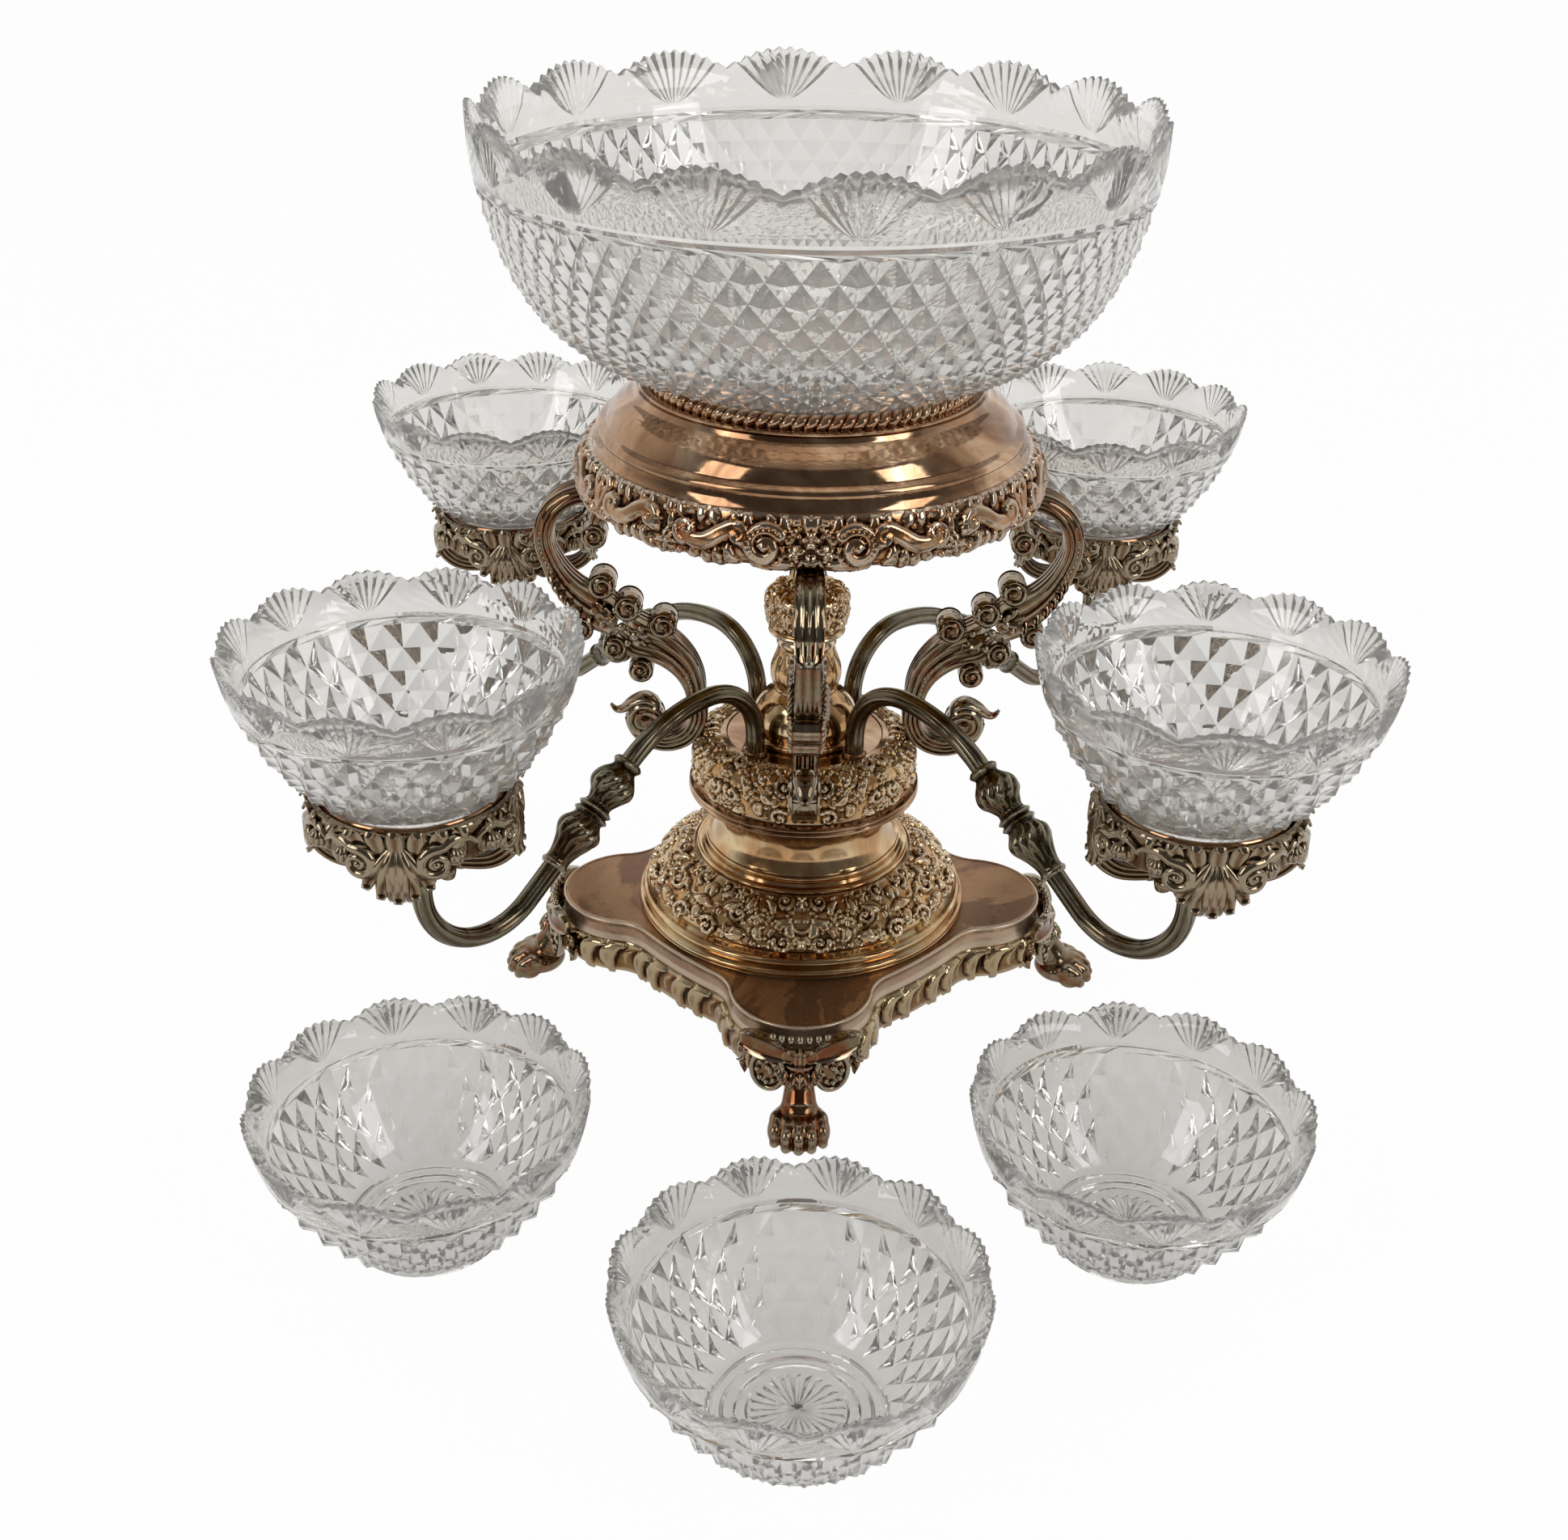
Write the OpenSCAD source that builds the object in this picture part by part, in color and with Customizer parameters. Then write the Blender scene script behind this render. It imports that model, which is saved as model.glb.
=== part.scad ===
// Four-branch table centrepiece with cut-glass bowls, in millimetres.
// Origin on the stand's axis at table level, +Z up, plinth corners on the X and Y axes.
// Branches stand on the diagonals between the corners.

/* [Plinth] */
// Height of the plinth's top plate above the table
plinth_top_z = 44.7; // [40:0.1:50]
// Thickness of the plinth's sheet
plinth_sheet = 2; // [1.2:0.1:3]
// Distance from the axis to the middle of a plinth side
side_distance = 77; // [76:0.5:84]
// Radius of the gentle bulge along each side
side_bulge_r = 190; // [140:5:400]
// Distance from the axis to a corner lobe's centre
lobe_distance = 78; // [74:0.5:84]
// Radius of a corner lobe
lobe_r = 31; // [27:0.5:34]
// Radius of the hollow curve between lobe and side
hollow_r = 20; // [14:0.5:26]
// Height of the plinth's lower rim above the table
plinth_rim_z = 20; // [17:0.5:26]

/* [Plinth border] */
// Height of the cast border's lower edge above the table
border_low_z = 18; // [15:0.5:22]
// Height of the cast border's upper edge above the table
border_high_z = 35; // [30:0.5:38]
// How far the border stands out from the plinth's wall
border_proud = 3.4; // [1.5:0.1:4.5]

/* [Feet] */
// Radius of the middle of a paw from the axis
paw_distance = 122; // [118:0.5:126]
// Width of a paw across its toes
paw_width = 26; // [20:0.5:30]
// Height of a paw
paw_height = 16.5; // [13:0.5:20]
// Radius of one toe
toe_r = 4.6; // [3.5:0.1:5.5]
// Diameter of the ankle
ankle_d = 15; // [11:0.5:17]
// Width of the winged corner mount above a foot
wing_width = 50; // [44:0.5:54]
// Thickness of the winged corner mount
wing_thick = 4; // [3:0.1:6]

/* [Base dome] */
// Outer radius of the base moulding on the plinth
base_r = 73.5; // [70:0.5:76]
// Height of the base moulding
base_step = 9; // [7:0.5:12]
// Radius of the ring above the base frieze
base_ring_r = 47.3; // [45:0.1:50]
// Height of the ring above the base frieze
base_ring_z = 71; // [67:0.5:75]
// Waist radius of the hollow band under the drum
scotia_r = 39; // [35:0.5:42]
// Sheet thickness of the spun pieces
spun_sheet = 2; // [1.2:0.1:3]
// Thickness of the cast base frieze
base_frieze_thick = 3; // [2:0.1:4.5]

/* [Drum] */
// Height of the drum's underside
drum_low_z = 100; // [98:0.5:102]
// Height of the drum's flat top
drum_top_z = 126; // [124:0.5:130]
// Outer radius of the reeded flange
flange_r = 51.4; // [50:0.1:53]
// Height of the reeded flange
flange_height = 5.5; // [4:0.1:7]
// Radius of the drum's wall behind its frieze
drum_wall_r = 47.5; // [46:0.1:48.5]
// Thickness of the cast drum frieze
drum_frieze_thick = 2.4; // [1.5:0.1:3]

/* [Arm sockets] */
// Radius of the socket circle
socket_distance = 30; // [29:0.5:34]
// Outer radius of a socket's collar
socket_collar_r = 5.4; // [5:0.1:6.5]
// Height of a socket's collar above the drum
socket_collar_h = 2; // [1.2:0.1:3]
// Outer radius of the socket's tube inside the drum
socket_tube_r = 4.6; // [4.2:0.1:4.9]
// Radius of a branch's peg
peg_r = 3; // [2.5:0.1:3.6]
// Length of a branch's peg
peg_length = 20; // [14:0.5:22]
// Radial clearance of the peg in its socket
peg_clear = 0.05; // [0.02:0.01:0.1]

/* [Column] */
// Radius of the bell's skirt on the drum
bell_r = 24; // [22:0.5:24.5]
// Height where the bell meets the lower knop
bell_top_z = 148.6; // [146:0.1:151]
// Radius of the neck above the bell
neck_r = 12.8; // [11:0.1:14]
// Radius of the lower leaf-wrapped knop
lower_knop_r = 15.6; // [14.5:0.1:17]
// Height where the lower and upper knops meet
knop_join_z = 172; // [170:0.5:174]
// Radius of the upper foliate knop
upper_knop_r = 18.8; // [17.5:0.1:20]
// Height of the upper knop's top
upper_knop_top_z = 200.8; // [198:0.1:203]
// Radius of the slender top of the column
shaft_r = 7.8; // [7:0.1:9]
// Radius of the flared column head under the stand
head_r = 24; // [20:0.5:28]

/* [Scroll brackets] */
// Thickness of a bracket's strap across its face
strap_face = 11; // [9:0.5:13]
// Width of the strap seen from the side
strap_width = 9; // [7:0.5:10.5]
// Radius from the axis to the upper scroll's centre
upper_scroll_x = 91; // [89:0.5:93]
// Height of the upper scroll's centre
upper_scroll_z = 216; // [214:0.5:217]
// Radius of the upper scroll's middle line
upper_scroll_r = 19.6; // [18:0.1:21]
// Radius from the axis to the lower scroll's centre
lower_scroll_x = 61; // [60:0.5:63]
// Height of the lower scroll's centre
lower_scroll_z = 135.5; // [134.5:0.5:138]
// Radius of the lower scroll's middle line
lower_scroll_r = 14.5; // [13.5:0.1:15]
// How far the lower scroll opens out towards the web
scroll_open = 22; // [20:0.5:24]
// Radius of the volutes along the web
volute_r = 6; // [5:0.1:7]
// Distance between pairs of volutes along the web
volute_pitch = 15.2; // [13:0.1:17]
// Number of turns drawn in each volute
volute_turns = 1.6; // [1.2:0.1:2]
// Radius of the large volute closing the lower scroll
end_volute_r = 8.4; // [7:0.1:9]

/* [Bowl stand] */
// Height of the stand's flat pan
pan_z = 243; // [241:0.5:245]
// Thickness of the stand's pan
pan_thick = 2; // [1.5:0.1:3]
// Radius of the stand's wall behind its frieze
stand_wall_r = 88; // [86:0.5:90]
// Height of the ledge above the frieze
ledge_z = 258.5; // [256:0.5:260]
// Outer radius of the ledge
ledge_r = 91.5; // [90:0.5:93]
// Height of the seat for the centre bowl
seat_z = 285; // [282:0.5:288]
// Outer radius of the seat
seat_r = 69.5; // [68:0.5:72]
// Outer radius of the cast stand frieze
stand_frieze_r = 97; // [95:0.5:100]
// Height of the stand frieze's lower edge
stand_frieze_z = 241.2; // [239.5:0.1:242.5]
// Outer radius of the gadrooned collar
collar_r = 67.5; // [66:0.1:69]
// Height of the gadrooned collar
collar_h = 6; // [4:0.1:7]
// Radial play of the bowl's foot in the collar
collar_clear = 1.2; // [0.6:0.1:2]

/* [Tie rod] */
// Radius of the hidden tie rod
rod_r = 3; // [2.5:0.1:3.5]
// Radial play of the tie rod in the pieces it clamps
rod_clear = 0.3; // [0.1:0.05:0.5]
// Width across the flats of the clamping nuts
nut_flats = 11; // [9:0.5:13]
// Thickness of a clamping nut
nut_thick = 4; // [3:0.5:6]
// Outer radius of the washer under the plinth plate
washer_r = 16; // [12:0.5:20]

/* [Branches] */
// Radius from the axis to a side bowl's centre
branch_reach = 203; // [199:0.5:207]
// Radius of the reeded branch tube
tube_r = 4.1; // [3.6:0.1:4.5]
// Depth of the grooves between reeds
reed_depth = 0.6; // [0.3:0.1:0.9]
// Number of reeds round the tube
reed_count = 8; // [6:1:10]
// Height of a branch's arch above the table
arch_top_z = 161.5; // [158:0.5:164]
// Bend radius of the arch where it rises
arch_rise_r = 27; // [24:0.5:30]
// Bend radius of the arch where it falls
arch_fall_r = 70; // [62:1:76]
// Downward slope of the straight run in degrees
fall_angle = 38; // [36:0.5:40]
// Bend radius of the low curve under a bowl
low_bend_r = 30; // [27:0.5:32]
// Radius of the larger swelling of the baluster knops
baluster_r = 9.5; // [8.5:0.1:10.5]
// Length of the baluster knops along the tube
baluster_length = 52.4; // [48:0.2:56]

/* [Holders] */
// Straight rise of the stem from the low curve to the holder
stem_rise = 6.2; // [4:0.1:9]
// Radius of the fluted calyx
calyx_r = 18; // [16:0.5:20]
// Height of the fluted calyx
calyx_h = 11; // [9:0.5:13]
// Number of flutes round the calyx
calyx_flutes = 14; // [10:1:18]
// Height from a holder's lower end to the bowl's resting ledge
holder_h = 35.5; // [33:0.5:38]
// Inner radius of the bowl ring
ring_bore_r = 31.7; // [31.2:0.1:32.5]
// Wall thickness of the bowl ring
ring_wall = 2.2; // [1.6:0.1:3]
// Height of the bowl ring
ring_h = 10; // [8:0.5:12]
// Width of the resting ledge inside the ring
ring_ledge = 5; // [3:0.5:6]
// Reach of the leaves outside the ring
leaf_reach = 40; // [37:0.5:43]
// Width of one cradle strap
loop_width = 6; // [4.5:0.5:8]
// Thickness of one cradle strap
loop_thick = 4; // [3:0.1:5]

/* [Centre bowl] */
// Rim radius of the centre bowl
centre_rim_r = 132.5; // [128:0.5:136]
// Height of the centre bowl
centre_bowl_h = 108; // [102:0.5:112]
// Glass thickness of the centre bowl
centre_glass = 5.5; // [4:0.1:7]
// Scallops round the centre bowl's rim
centre_scallops = 16; // [12:1:20]
// Depth of the dips between the centre bowl's scallops
centre_dip = 8.5; // [5:0.5:10]

/* [Small bowls] */
// Rim radius of a small bowl
small_rim_r = 65; // [62:0.5:67]
// Height of a small bowl
small_bowl_h = 64; // [58:0.5:68]
// Foot radius of a small bowl
small_foot_r = 30.5; // [29.5:0.1:30.9]
// Glass thickness of a small bowl
small_glass = 4.6; // [3.5:0.1:5.5]
// Scallops round a small bowl's rim
small_scallops = 12; // [9:1:15]
// Depth of the dips between a small bowl's scallops
small_dip = 5.5; // [3:0.5:7]

/* [Loose bowls] */
// Position of the left loose bowl along X
left_bowl_x = -143; // [-150:1:-136]
// Position of the left loose bowl along Y
left_bowl_y = -181; // [-186:1:-174]
// Position of the front loose bowl along Y
front_bowl_y = -277; // [-284:1:-270]
// Position of the right loose bowl along X
right_bowl_x = 128; // [122:1:136]
// Position of the right loose bowl along Y
right_bowl_y = -178; // [-186:1:-174]

/* [Hidden] */
$fn = 64;
hole_r = rod_r + rod_clear;
silver = [0.72, 0.6, 0.46];
copper = [0.62, 0.44, 0.32];
crystal = [0.85, 0.88, 0.9, 0.5];
arm_angles = [225, 315, 45, 135];

// Points on an arc from angle a to angle b.
function arc(c, r, a, b, n) =
  [for (i = [0 : n]) let (t = a + (b - a) * i / n) [c[0] + r * cos(t), c[1] + r * sin(t)]];

// Smooth curve through points, each span cut into n steps.
function mid(a, b, c, d, t) =
  0.5 * (2 * b + (c - a) * t + (2 * a - 5 * b + 4 * c - d) * t * t
  + (3 * b - a - 3 * c + d) * t * t * t);
function smooth(p, n) = concat(
  [for (i = [0 : len(p) - 2]) for (j = [0 : n - 1])
    mid(p[max(i - 1, 0)], p[i], p[i + 1], p[min(i + 2, len(p) - 1)], j / n)],
  [p[len(p) - 1]]);

// Unit direction of a path at point i.
function unit(v) = v / norm(v);
function heading(p, i) =
  unit([for (k = [0, 1]) p[min(i + 1, len(p) - 1)][k] - p[max(i - 1, 0)][k]]);

// Band of changing width drawn along a path of [x, y, width].
function band(p) = concat(
  [for (i = [0 : len(p) - 1]) let (h = heading(p, i))
    [p[i][0] - h[1] * p[i][2] / 2, p[i][1] + h[0] * p[i][2] / 2]],
  [for (i = [len(p) - 1 : -1 : 0]) let (h = heading(p, i))
    [p[i][0] + h[1] * p[i][2] / 2, p[i][1] - h[0] * p[i][2] / 2]]);

// Plinth outline, moved outwards by d: bulged sides, rounded lobes and hollow curves.
bulge_c = side_distance - side_bulge_r;
lobe_c = lobe_distance / sqrt(2);
span_ab = norm([lobe_c, lobe_c - bulge_c]);
reach_a = side_bulge_r + hollow_r;
reach_b = lobe_r + hollow_r;
hollow_turn = acos((reach_a * reach_a + span_ab * span_ab - reach_b * reach_b)
  / (2 * reach_a * span_ab));
hollow_at = atan2(lobe_c - bulge_c, lobe_c) + hollow_turn;
hollow_x = reach_a * cos(hollow_at);
hollow_y = bulge_c + reach_a * sin(hollow_at);
lobe_at = atan2(hollow_y - lobe_c, hollow_x - lobe_c);
function arc_on(c, r, a, b, n) = [for (i = [1 : n]) let (t = a + (b - a) * i / n)
  [c[0] + r * cos(t), c[1] + r * sin(t)]];
function side_line(d) = concat(
  arc([lobe_c, lobe_c], lobe_r + d, 45, lobe_at, 7),
  arc_on([hollow_x, hollow_y], hollow_r - d, lobe_at + 180, hollow_at + 180, 4),
  arc_on([0, bulge_c], side_bulge_r + d, hollow_at, 180 - hollow_at, 3),
  arc_on([-hollow_x, hollow_y], hollow_r - d, 360 - hollow_at, 360 - lobe_at, 4),
  arc_on([-lobe_c, lobe_c], lobe_r + d, 180 - lobe_at, 135 - (lobe_at - 45) / 7, 6));
function turned_by(p, a) = [p[0] * cos(a) - p[1] * sin(a), p[0] * sin(a) + p[1] * cos(a)];
module plinth_shape(d) {
  polygon([for (k = [0 : 3]) for (p = side_line(d)) turned_by(p, 45 + 90 * k)]);
}

module plinth() {
  color(silver) difference() {
    union() {
      translate([0, 0, plinth_rim_z]) linear_extrude(plinth_top_z - plinth_rim_z)
        plinth_shape(0);
    }
    translate([0, 0, plinth_rim_z - 1])
      linear_extrude(plinth_top_z - plinth_rim_z - plinth_sheet + 1)
        plinth_shape(-plinth_sheet);
    translate([0, 0, plinth_top_z - 2 * plinth_sheet]) cylinder(r = hole_r, h = 3 * plinth_sheet);
  }
}

module plinth_border() {
  color(silver) difference() {
    union() {
      translate([0, 0, border_low_z]) linear_extrude(border_high_z - border_low_z)
        plinth_shape(border_proud * 0.7);
      translate([0, 0, border_low_z + 3]) linear_extrude(border_high_z - border_low_z - 7)
        plinth_shape(border_proud);
    }
    translate([0, 0, border_low_z - 1]) linear_extrude(border_high_z - border_low_z + 2)
      plinth_shape(0);
  }
}

// Paw foot with its winged corner mount, drawn along +X.
module foot() {
  toe_gap = (paw_width - 2 * toe_r) / 3;
  color(silver) difference() {
    union() {
      for (k = [0 : 3]) {
        y = (k - 1.5) * toe_gap;
        x = paw_distance + (abs(k - 1.5) < 1 ? 9.2 : 7.2);
        translate([x, y, toe_r - 0.3]) sphere(r = toe_r);
        translate([paw_distance - 2, y, toe_r + 2.2]) rotate([0, 94, 0])
          cylinder(r = toe_r + 0.2, h = x - paw_distance + 2);
      }
      translate([paw_distance - 1, 0, 0]) cylinder(r1 = 11.5, r2 = 8, h = paw_height);
      translate([paw_distance - 1, 0, paw_height - 4]) rotate([0, -38, 0])
        cylinder(d1 = ankle_d + 1, d2 = ankle_d, h = 16);
      intersection() {
        translate([lobe_distance, 0, 0]) rotate([90, 0, 90])
          linear_extrude(lobe_r + border_proud + wing_thick) wing_shape();
        translate([lobe_distance, 0, 0])
          cylinder(r = lobe_r + border_proud + wing_thick, h = plinth_top_z);
      }
    }
    translate([0, -50, -20]) cube([200, 100, 20]);
    rotate(-90) translate([0, 0, border_low_z - 6])
      linear_extrude(plinth_top_z) plinth_shape(border_proud);
  }
}

// Two roundels, two wings above them, a rosette, a bar and a tongue down to the ankle.
module wing_shape() {
  w = wing_width;
  for (k = [-1, 1]) {
    translate([k * w * 0.3, border_low_z + 6]) scale([1, 0.78]) circle(r = w * 0.166);
    polygon(smooth([[k * w * 0.1, border_high_z - 1], [k * w * 0.27, border_high_z + 5.6],
      [k * w * 0.42, border_high_z + 5.6], [k * w * 0.5, border_high_z + 1],
      [k * w * 0.45, border_high_z - 3.4], [k * w * 0.26, border_high_z - 4.4],
      [k * w * 0.1, border_high_z - 4]], 4));
  }
  translate([0, border_high_z - 3]) circle(r = w * 0.17);
  translate([-w * 0.26, border_high_z + 4.4]) square([w * 0.52, 3]);
  translate([-w * 0.15, border_low_z - 1]) square([w * 0.3, border_high_z - border_low_z]);
}

module foot_front() { rotate(270) foot(); }
module foot_right() { rotate(0) foot(); }
module foot_back() { rotate(90) foot(); }
module foot_left() { rotate(180) foot(); }

// Spun base: outer moulding, frieze seat, ring and hollow band.
seat_low = [base_r - 7.5, plinth_top_z + base_step];
seat_high = [base_ring_r - 0.8, base_ring_z - 1];
scotia_mid_z = (base_ring_z + drum_low_z) / 2 + 3;
scotia_line = smooth([[base_ring_r - 4, base_ring_z + 5], [scotia_r + 0.8, scotia_mid_z - 5],
  [scotia_r, scotia_mid_z + 2], [scotia_r + 2.4, drum_low_z - 4], [scotia_r + 5, drum_low_z]], 4);
function dome_line(t) = concat(
  [[base_r - t, plinth_top_z], [base_r + 0.6 - t, plinth_top_z + 1.6], [base_r - t, plinth_top_z + 3.2],
   [base_r - 2 - t, plinth_top_z + 4.2], [base_r - 4.5 - t, plinth_top_z + 5.6],
   [base_r - 5.6 - t, plinth_top_z + base_step - t / 2],
   [seat_low[0] - t, seat_low[1] - t / 2], [seat_high[0] - t, seat_high[1] - t / 2],
   [base_ring_r + 0.4 - t, base_ring_z + 0.6], [base_ring_r - 0.4 - t, base_ring_z + 2.2],
   [base_ring_r - 2.6 - t, base_ring_z + 3]],
  [for (p = scotia_line) [p[0] - t, p[1]]]);
module base_dome() {
  inside = dome_line(spun_sheet);
  roof = drum_low_z - spun_sheet;
  color(silver) rotate_extrude() polygon(concat(dome_line(0), [[hole_r, drum_low_z], [hole_r, roof]],
    [for (i = [len(inside) - 1 : -1 : 0]) [inside[i][0], min(inside[i][1], roof)]]));
}

module base_frieze() {
  run = unit(seat_high - seat_low);
  out = [-run[1], run[0]] * -1;
  a = seat_low + run * 0.6;
  b = seat_high - run * 2.4;
  color(copper) rotate_extrude() polygon([a, a + out * base_frieze_thick * 0.7,
    a + run * 4 + out * base_frieze_thick, (a + b) / 2 + out * base_frieze_thick * 1.1,
    b - run * 3 + out * base_frieze_thick * 0.9, b + out * base_frieze_thick * 0.4, b]);
}

// Drum: flange, wall, rounded shoulder and flat top with four socket holes.
shoulder = arc([drum_wall_r - 6, drum_top_z - 6.5], 6, 0, 75, 5);
module drum() {
  top = drum_top_z;
  inner_r = drum_wall_r - spun_sheet;
  color(silver) difference() {
    rotate_extrude() polygon(concat(
      [[scotia_r + 2, drum_low_z], [flange_r - 2.6, drum_low_z], [flange_r - 0.6, drum_low_z + 0.9],
       [flange_r, drum_low_z + flange_height * 0.5], [flange_r - 0.6, drum_low_z + flange_height - 0.9],
       [flange_r - 1.6, drum_low_z + flange_height], [drum_wall_r, drum_low_z + flange_height]],
      shoulder,
      [[socket_distance + socket_collar_r + 1, top], [hole_r, top], [hole_r, top - spun_sheet - 0.6],
       [inner_r - 6, top - spun_sheet - 0.6], [inner_r, top - 8], [inner_r, drum_low_z + flange_height],
       [scotia_r + 2, drum_low_z + spun_sheet]]));
    for (a = arm_angles) rotate(a) translate([socket_distance, 0, top - 10])
      cylinder(r = socket_tube_r, h = 12);
  }
}

module drum_frieze() {
  t = drum_frieze_thick;
  low = drum_low_z + flange_height;
  edge = socket_distance + socket_collar_r + 1;
  outer = arc([drum_wall_r - 6, drum_top_z - 6.5], 6 + t, 0, 75, 5);
  inner = arc([drum_wall_r - 6, drum_top_z - 6.5], 6, 75, 0, 5);
  color(copper) rotate_extrude() polygon(concat([[drum_wall_r, low], [drum_wall_r + t * 0.7, low],
    [drum_wall_r + t, low + 4]], outer, [[edge + 1.2, drum_top_z + t * 0.6], [edge, drum_top_z]],
    inner));
}

// Socket: collar on the drum and a tube inside it for the branch's peg.
module socket(a) {
  color(copper) rotate(a) translate([socket_distance, 0, 0]) difference() {
    union() {
      translate([0, 0, drum_top_z]) cylinder(r = socket_collar_r, h = socket_collar_h);
      translate([0, 0, drum_top_z - peg_length + 1]) cylinder(r = socket_tube_r, h = peg_length);
    }
    translate([0, 0, drum_top_z - peg_length - 2])
      cylinder(r = peg_r + peg_clear, h = peg_length + socket_collar_h + 4);
  }
}
module socket_front_left() { socket(225); }
module socket_front_right() { socket(315); }
module socket_back_right() { socket(45); }
module socket_back_left() { socket(135); }

// Column pieces threaded on the tie rod.
module turned(line, low, high) {
  rotate_extrude() polygon(concat([[hole_r, low]], line, [[hole_r, high]]));
}
module bell() {
  h = bell_top_z - drum_top_z;
  color(silver) turned(concat([[bell_r, drum_top_z], [bell_r, drum_top_z + 1.2]],
    smooth([[bell_r - 0.8, drum_top_z + 2], [bell_r - 1.2, drum_top_z + h * 0.4],
      [bell_r - 4, drum_top_z + h * 0.72], [neck_r + 1.4, bell_top_z - 1.4], [neck_r, bell_top_z]], 4)),
    drum_top_z, bell_top_z);
}
module lower_knop() {
  h = knop_join_z - bell_top_z;
  color(silver) turned(smooth([[neck_r, bell_top_z], [lower_knop_r - 0.4, bell_top_z + h * 0.2],
    [lower_knop_r, bell_top_z + h * 0.36], [lower_knop_r - 1, bell_top_z + h * 0.55],
    [neck_r, bell_top_z + h * 0.78], [neck_r + 1.1, bell_top_z + h * 0.92], [neck_r, knop_join_z]], 3),
    bell_top_z, knop_join_z);
}
module upper_knop() {
  h = upper_knop_top_z - knop_join_z;
  r = upper_knop_r;
  color(silver) turned(concat(smooth([[neck_r, knop_join_z], [r - 2.6, knop_join_z + h * 0.09],
    [r - 1.6, knop_join_z + h * 0.22], [r, knop_join_z + h * 0.44], [r - 0.4, knop_join_z + h * 0.62],
    [r - 1.9, knop_join_z + h * 0.82]], 3), [[r - 3.4, knop_join_z + h * 0.86],
    [r - 6, knop_join_z + h * 0.885], [shaft_r + 1.4, knop_join_z + h * 0.9],
    [shaft_r, upper_knop_top_z]]), knop_join_z, upper_knop_top_z);
}
module column_top() {
  h = pan_z - upper_knop_top_z;
  color(silver) turned(smooth([[shaft_r, upper_knop_top_z], [shaft_r - 0.2, upper_knop_top_z + h * 0.3],
    [shaft_r + 1.6, upper_knop_top_z + h * 0.6], [head_r * 0.6, upper_knop_top_z + h * 0.82],
    [head_r, pan_z - 2], [head_r, pan_z]], 4), upper_knop_top_z, pan_z);
}

// Scroll bracket, drawn in the X-Z plane and turned to its corner.
upper_c = [upper_scroll_x, upper_scroll_z];
lower_c = [lower_scroll_x, lower_scroll_z];
web_high = upper_c + [15.5, -10.5];
web_low = lower_c + [-6.7, 15.3];
web_dir = unit(web_low - web_high);
web_side = [-web_dir[1], web_dir[0]];
function beside(along, off) = web_high + web_dir * along + web_side * off;
function with_width(p, a, b) = [for (i = [0 : len(p) - 1]) concat(p[i], a + (b - a) * i / (len(p) - 1))];

// Both scrolls open out where they meet the web: angle a to a point on the strap's middle line.
function upper_at(a) = upper_c + [cos(a), sin(a)]
  * (upper_scroll_r + 0.68 * scroll_open * pow(max(0, -a - 20) / 80, 2));
function lower_at(a) = lower_c + [cos(a), sin(a)]
  * (lower_scroll_r + scroll_open * pow(max(0, 165 - a) / 90, 1.6));
upper_path = [for (i = [0 : 22]) let (f = i / 22) concat(upper_at(104 - 200 * f),
  strap_width * (0.86 + 0.1 * f + 1.1 * pow(max(0, f - 0.6) / 0.4, 2)))];
lower_path = [for (i = [0 : 30]) let (f = i / 30) concat(lower_at(74 + 278 * f),
  strap_width * (0.94 + 1.2 * pow(max(0, 0.3 - f) / 0.3, 1.5) - 0.4 * max(0, f - 0.45)))];
end_c = lower_c + [8.6, -3.6];
hook_path = with_width(smooth([upper_c + [21.8, 8], upper_c + [23.8, 0], upper_c + [26.2, -4],
  upper_c + [30, -2.4]], 4), 4.4, 1.8);
crest_line = smooth([end_c + [-5, 1], end_c + [-4.6, 6.6], end_c + [-0.1, 9.2], end_c + [5.4, 7.2],
  end_c + [9.9, 3.8], end_c + [12.9, 3.4], end_c + [15.4, 6]], 3);
crest_path = [for (i = [0 : len(crest_line) - 1]) let (f = i / (len(crest_line) - 1))
  concat(crest_line[i], 1.2 + 4.2 * pow(sin(180 * min(1, 0.15 + 0.85 * f)), 0.7))];

// Volute places: three pairs along the web and one under the stand's rim.
volute_places = concat(
  [for (k = [0 : 2]) concat(beside(21 + volute_pitch * k, -7.2 - 3 * k), volute_r)],
  [for (k = [0 : 2]) concat(beside(29 + volute_pitch * k, 12.6 - 2.4 * k), volute_r * 0.9)],
  [[upper_scroll_x - 1.6, upper_scroll_z + 1.2, volute_r * 0.9]],
  [concat(end_c, end_volute_r)]);

// Web plate between the two rows of volutes.
web_plate = concat([beside(12, -4)], [for (k = [0 : 2]) [volute_places[k][0], volute_places[k][1]]],
  [beside(64, -4)], [for (k = [5 : -1 : 3]) [volute_places[k][0], volute_places[k][1]]],
  [beside(14, 4)]);

// Spiral ridge that winds in from radius r, as one closed band.
function spiral(c, r) = band([for (i = [0 : 22]) let (f = i / 22, q = r * (1 - 0.74 * f))
  [c[0] + q * cos(60 - 360 * volute_turns * f), c[1] + q * sin(60 - 360 * volute_turns * f),
   r * (0.2 - 0.08 * f)]]);

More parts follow.
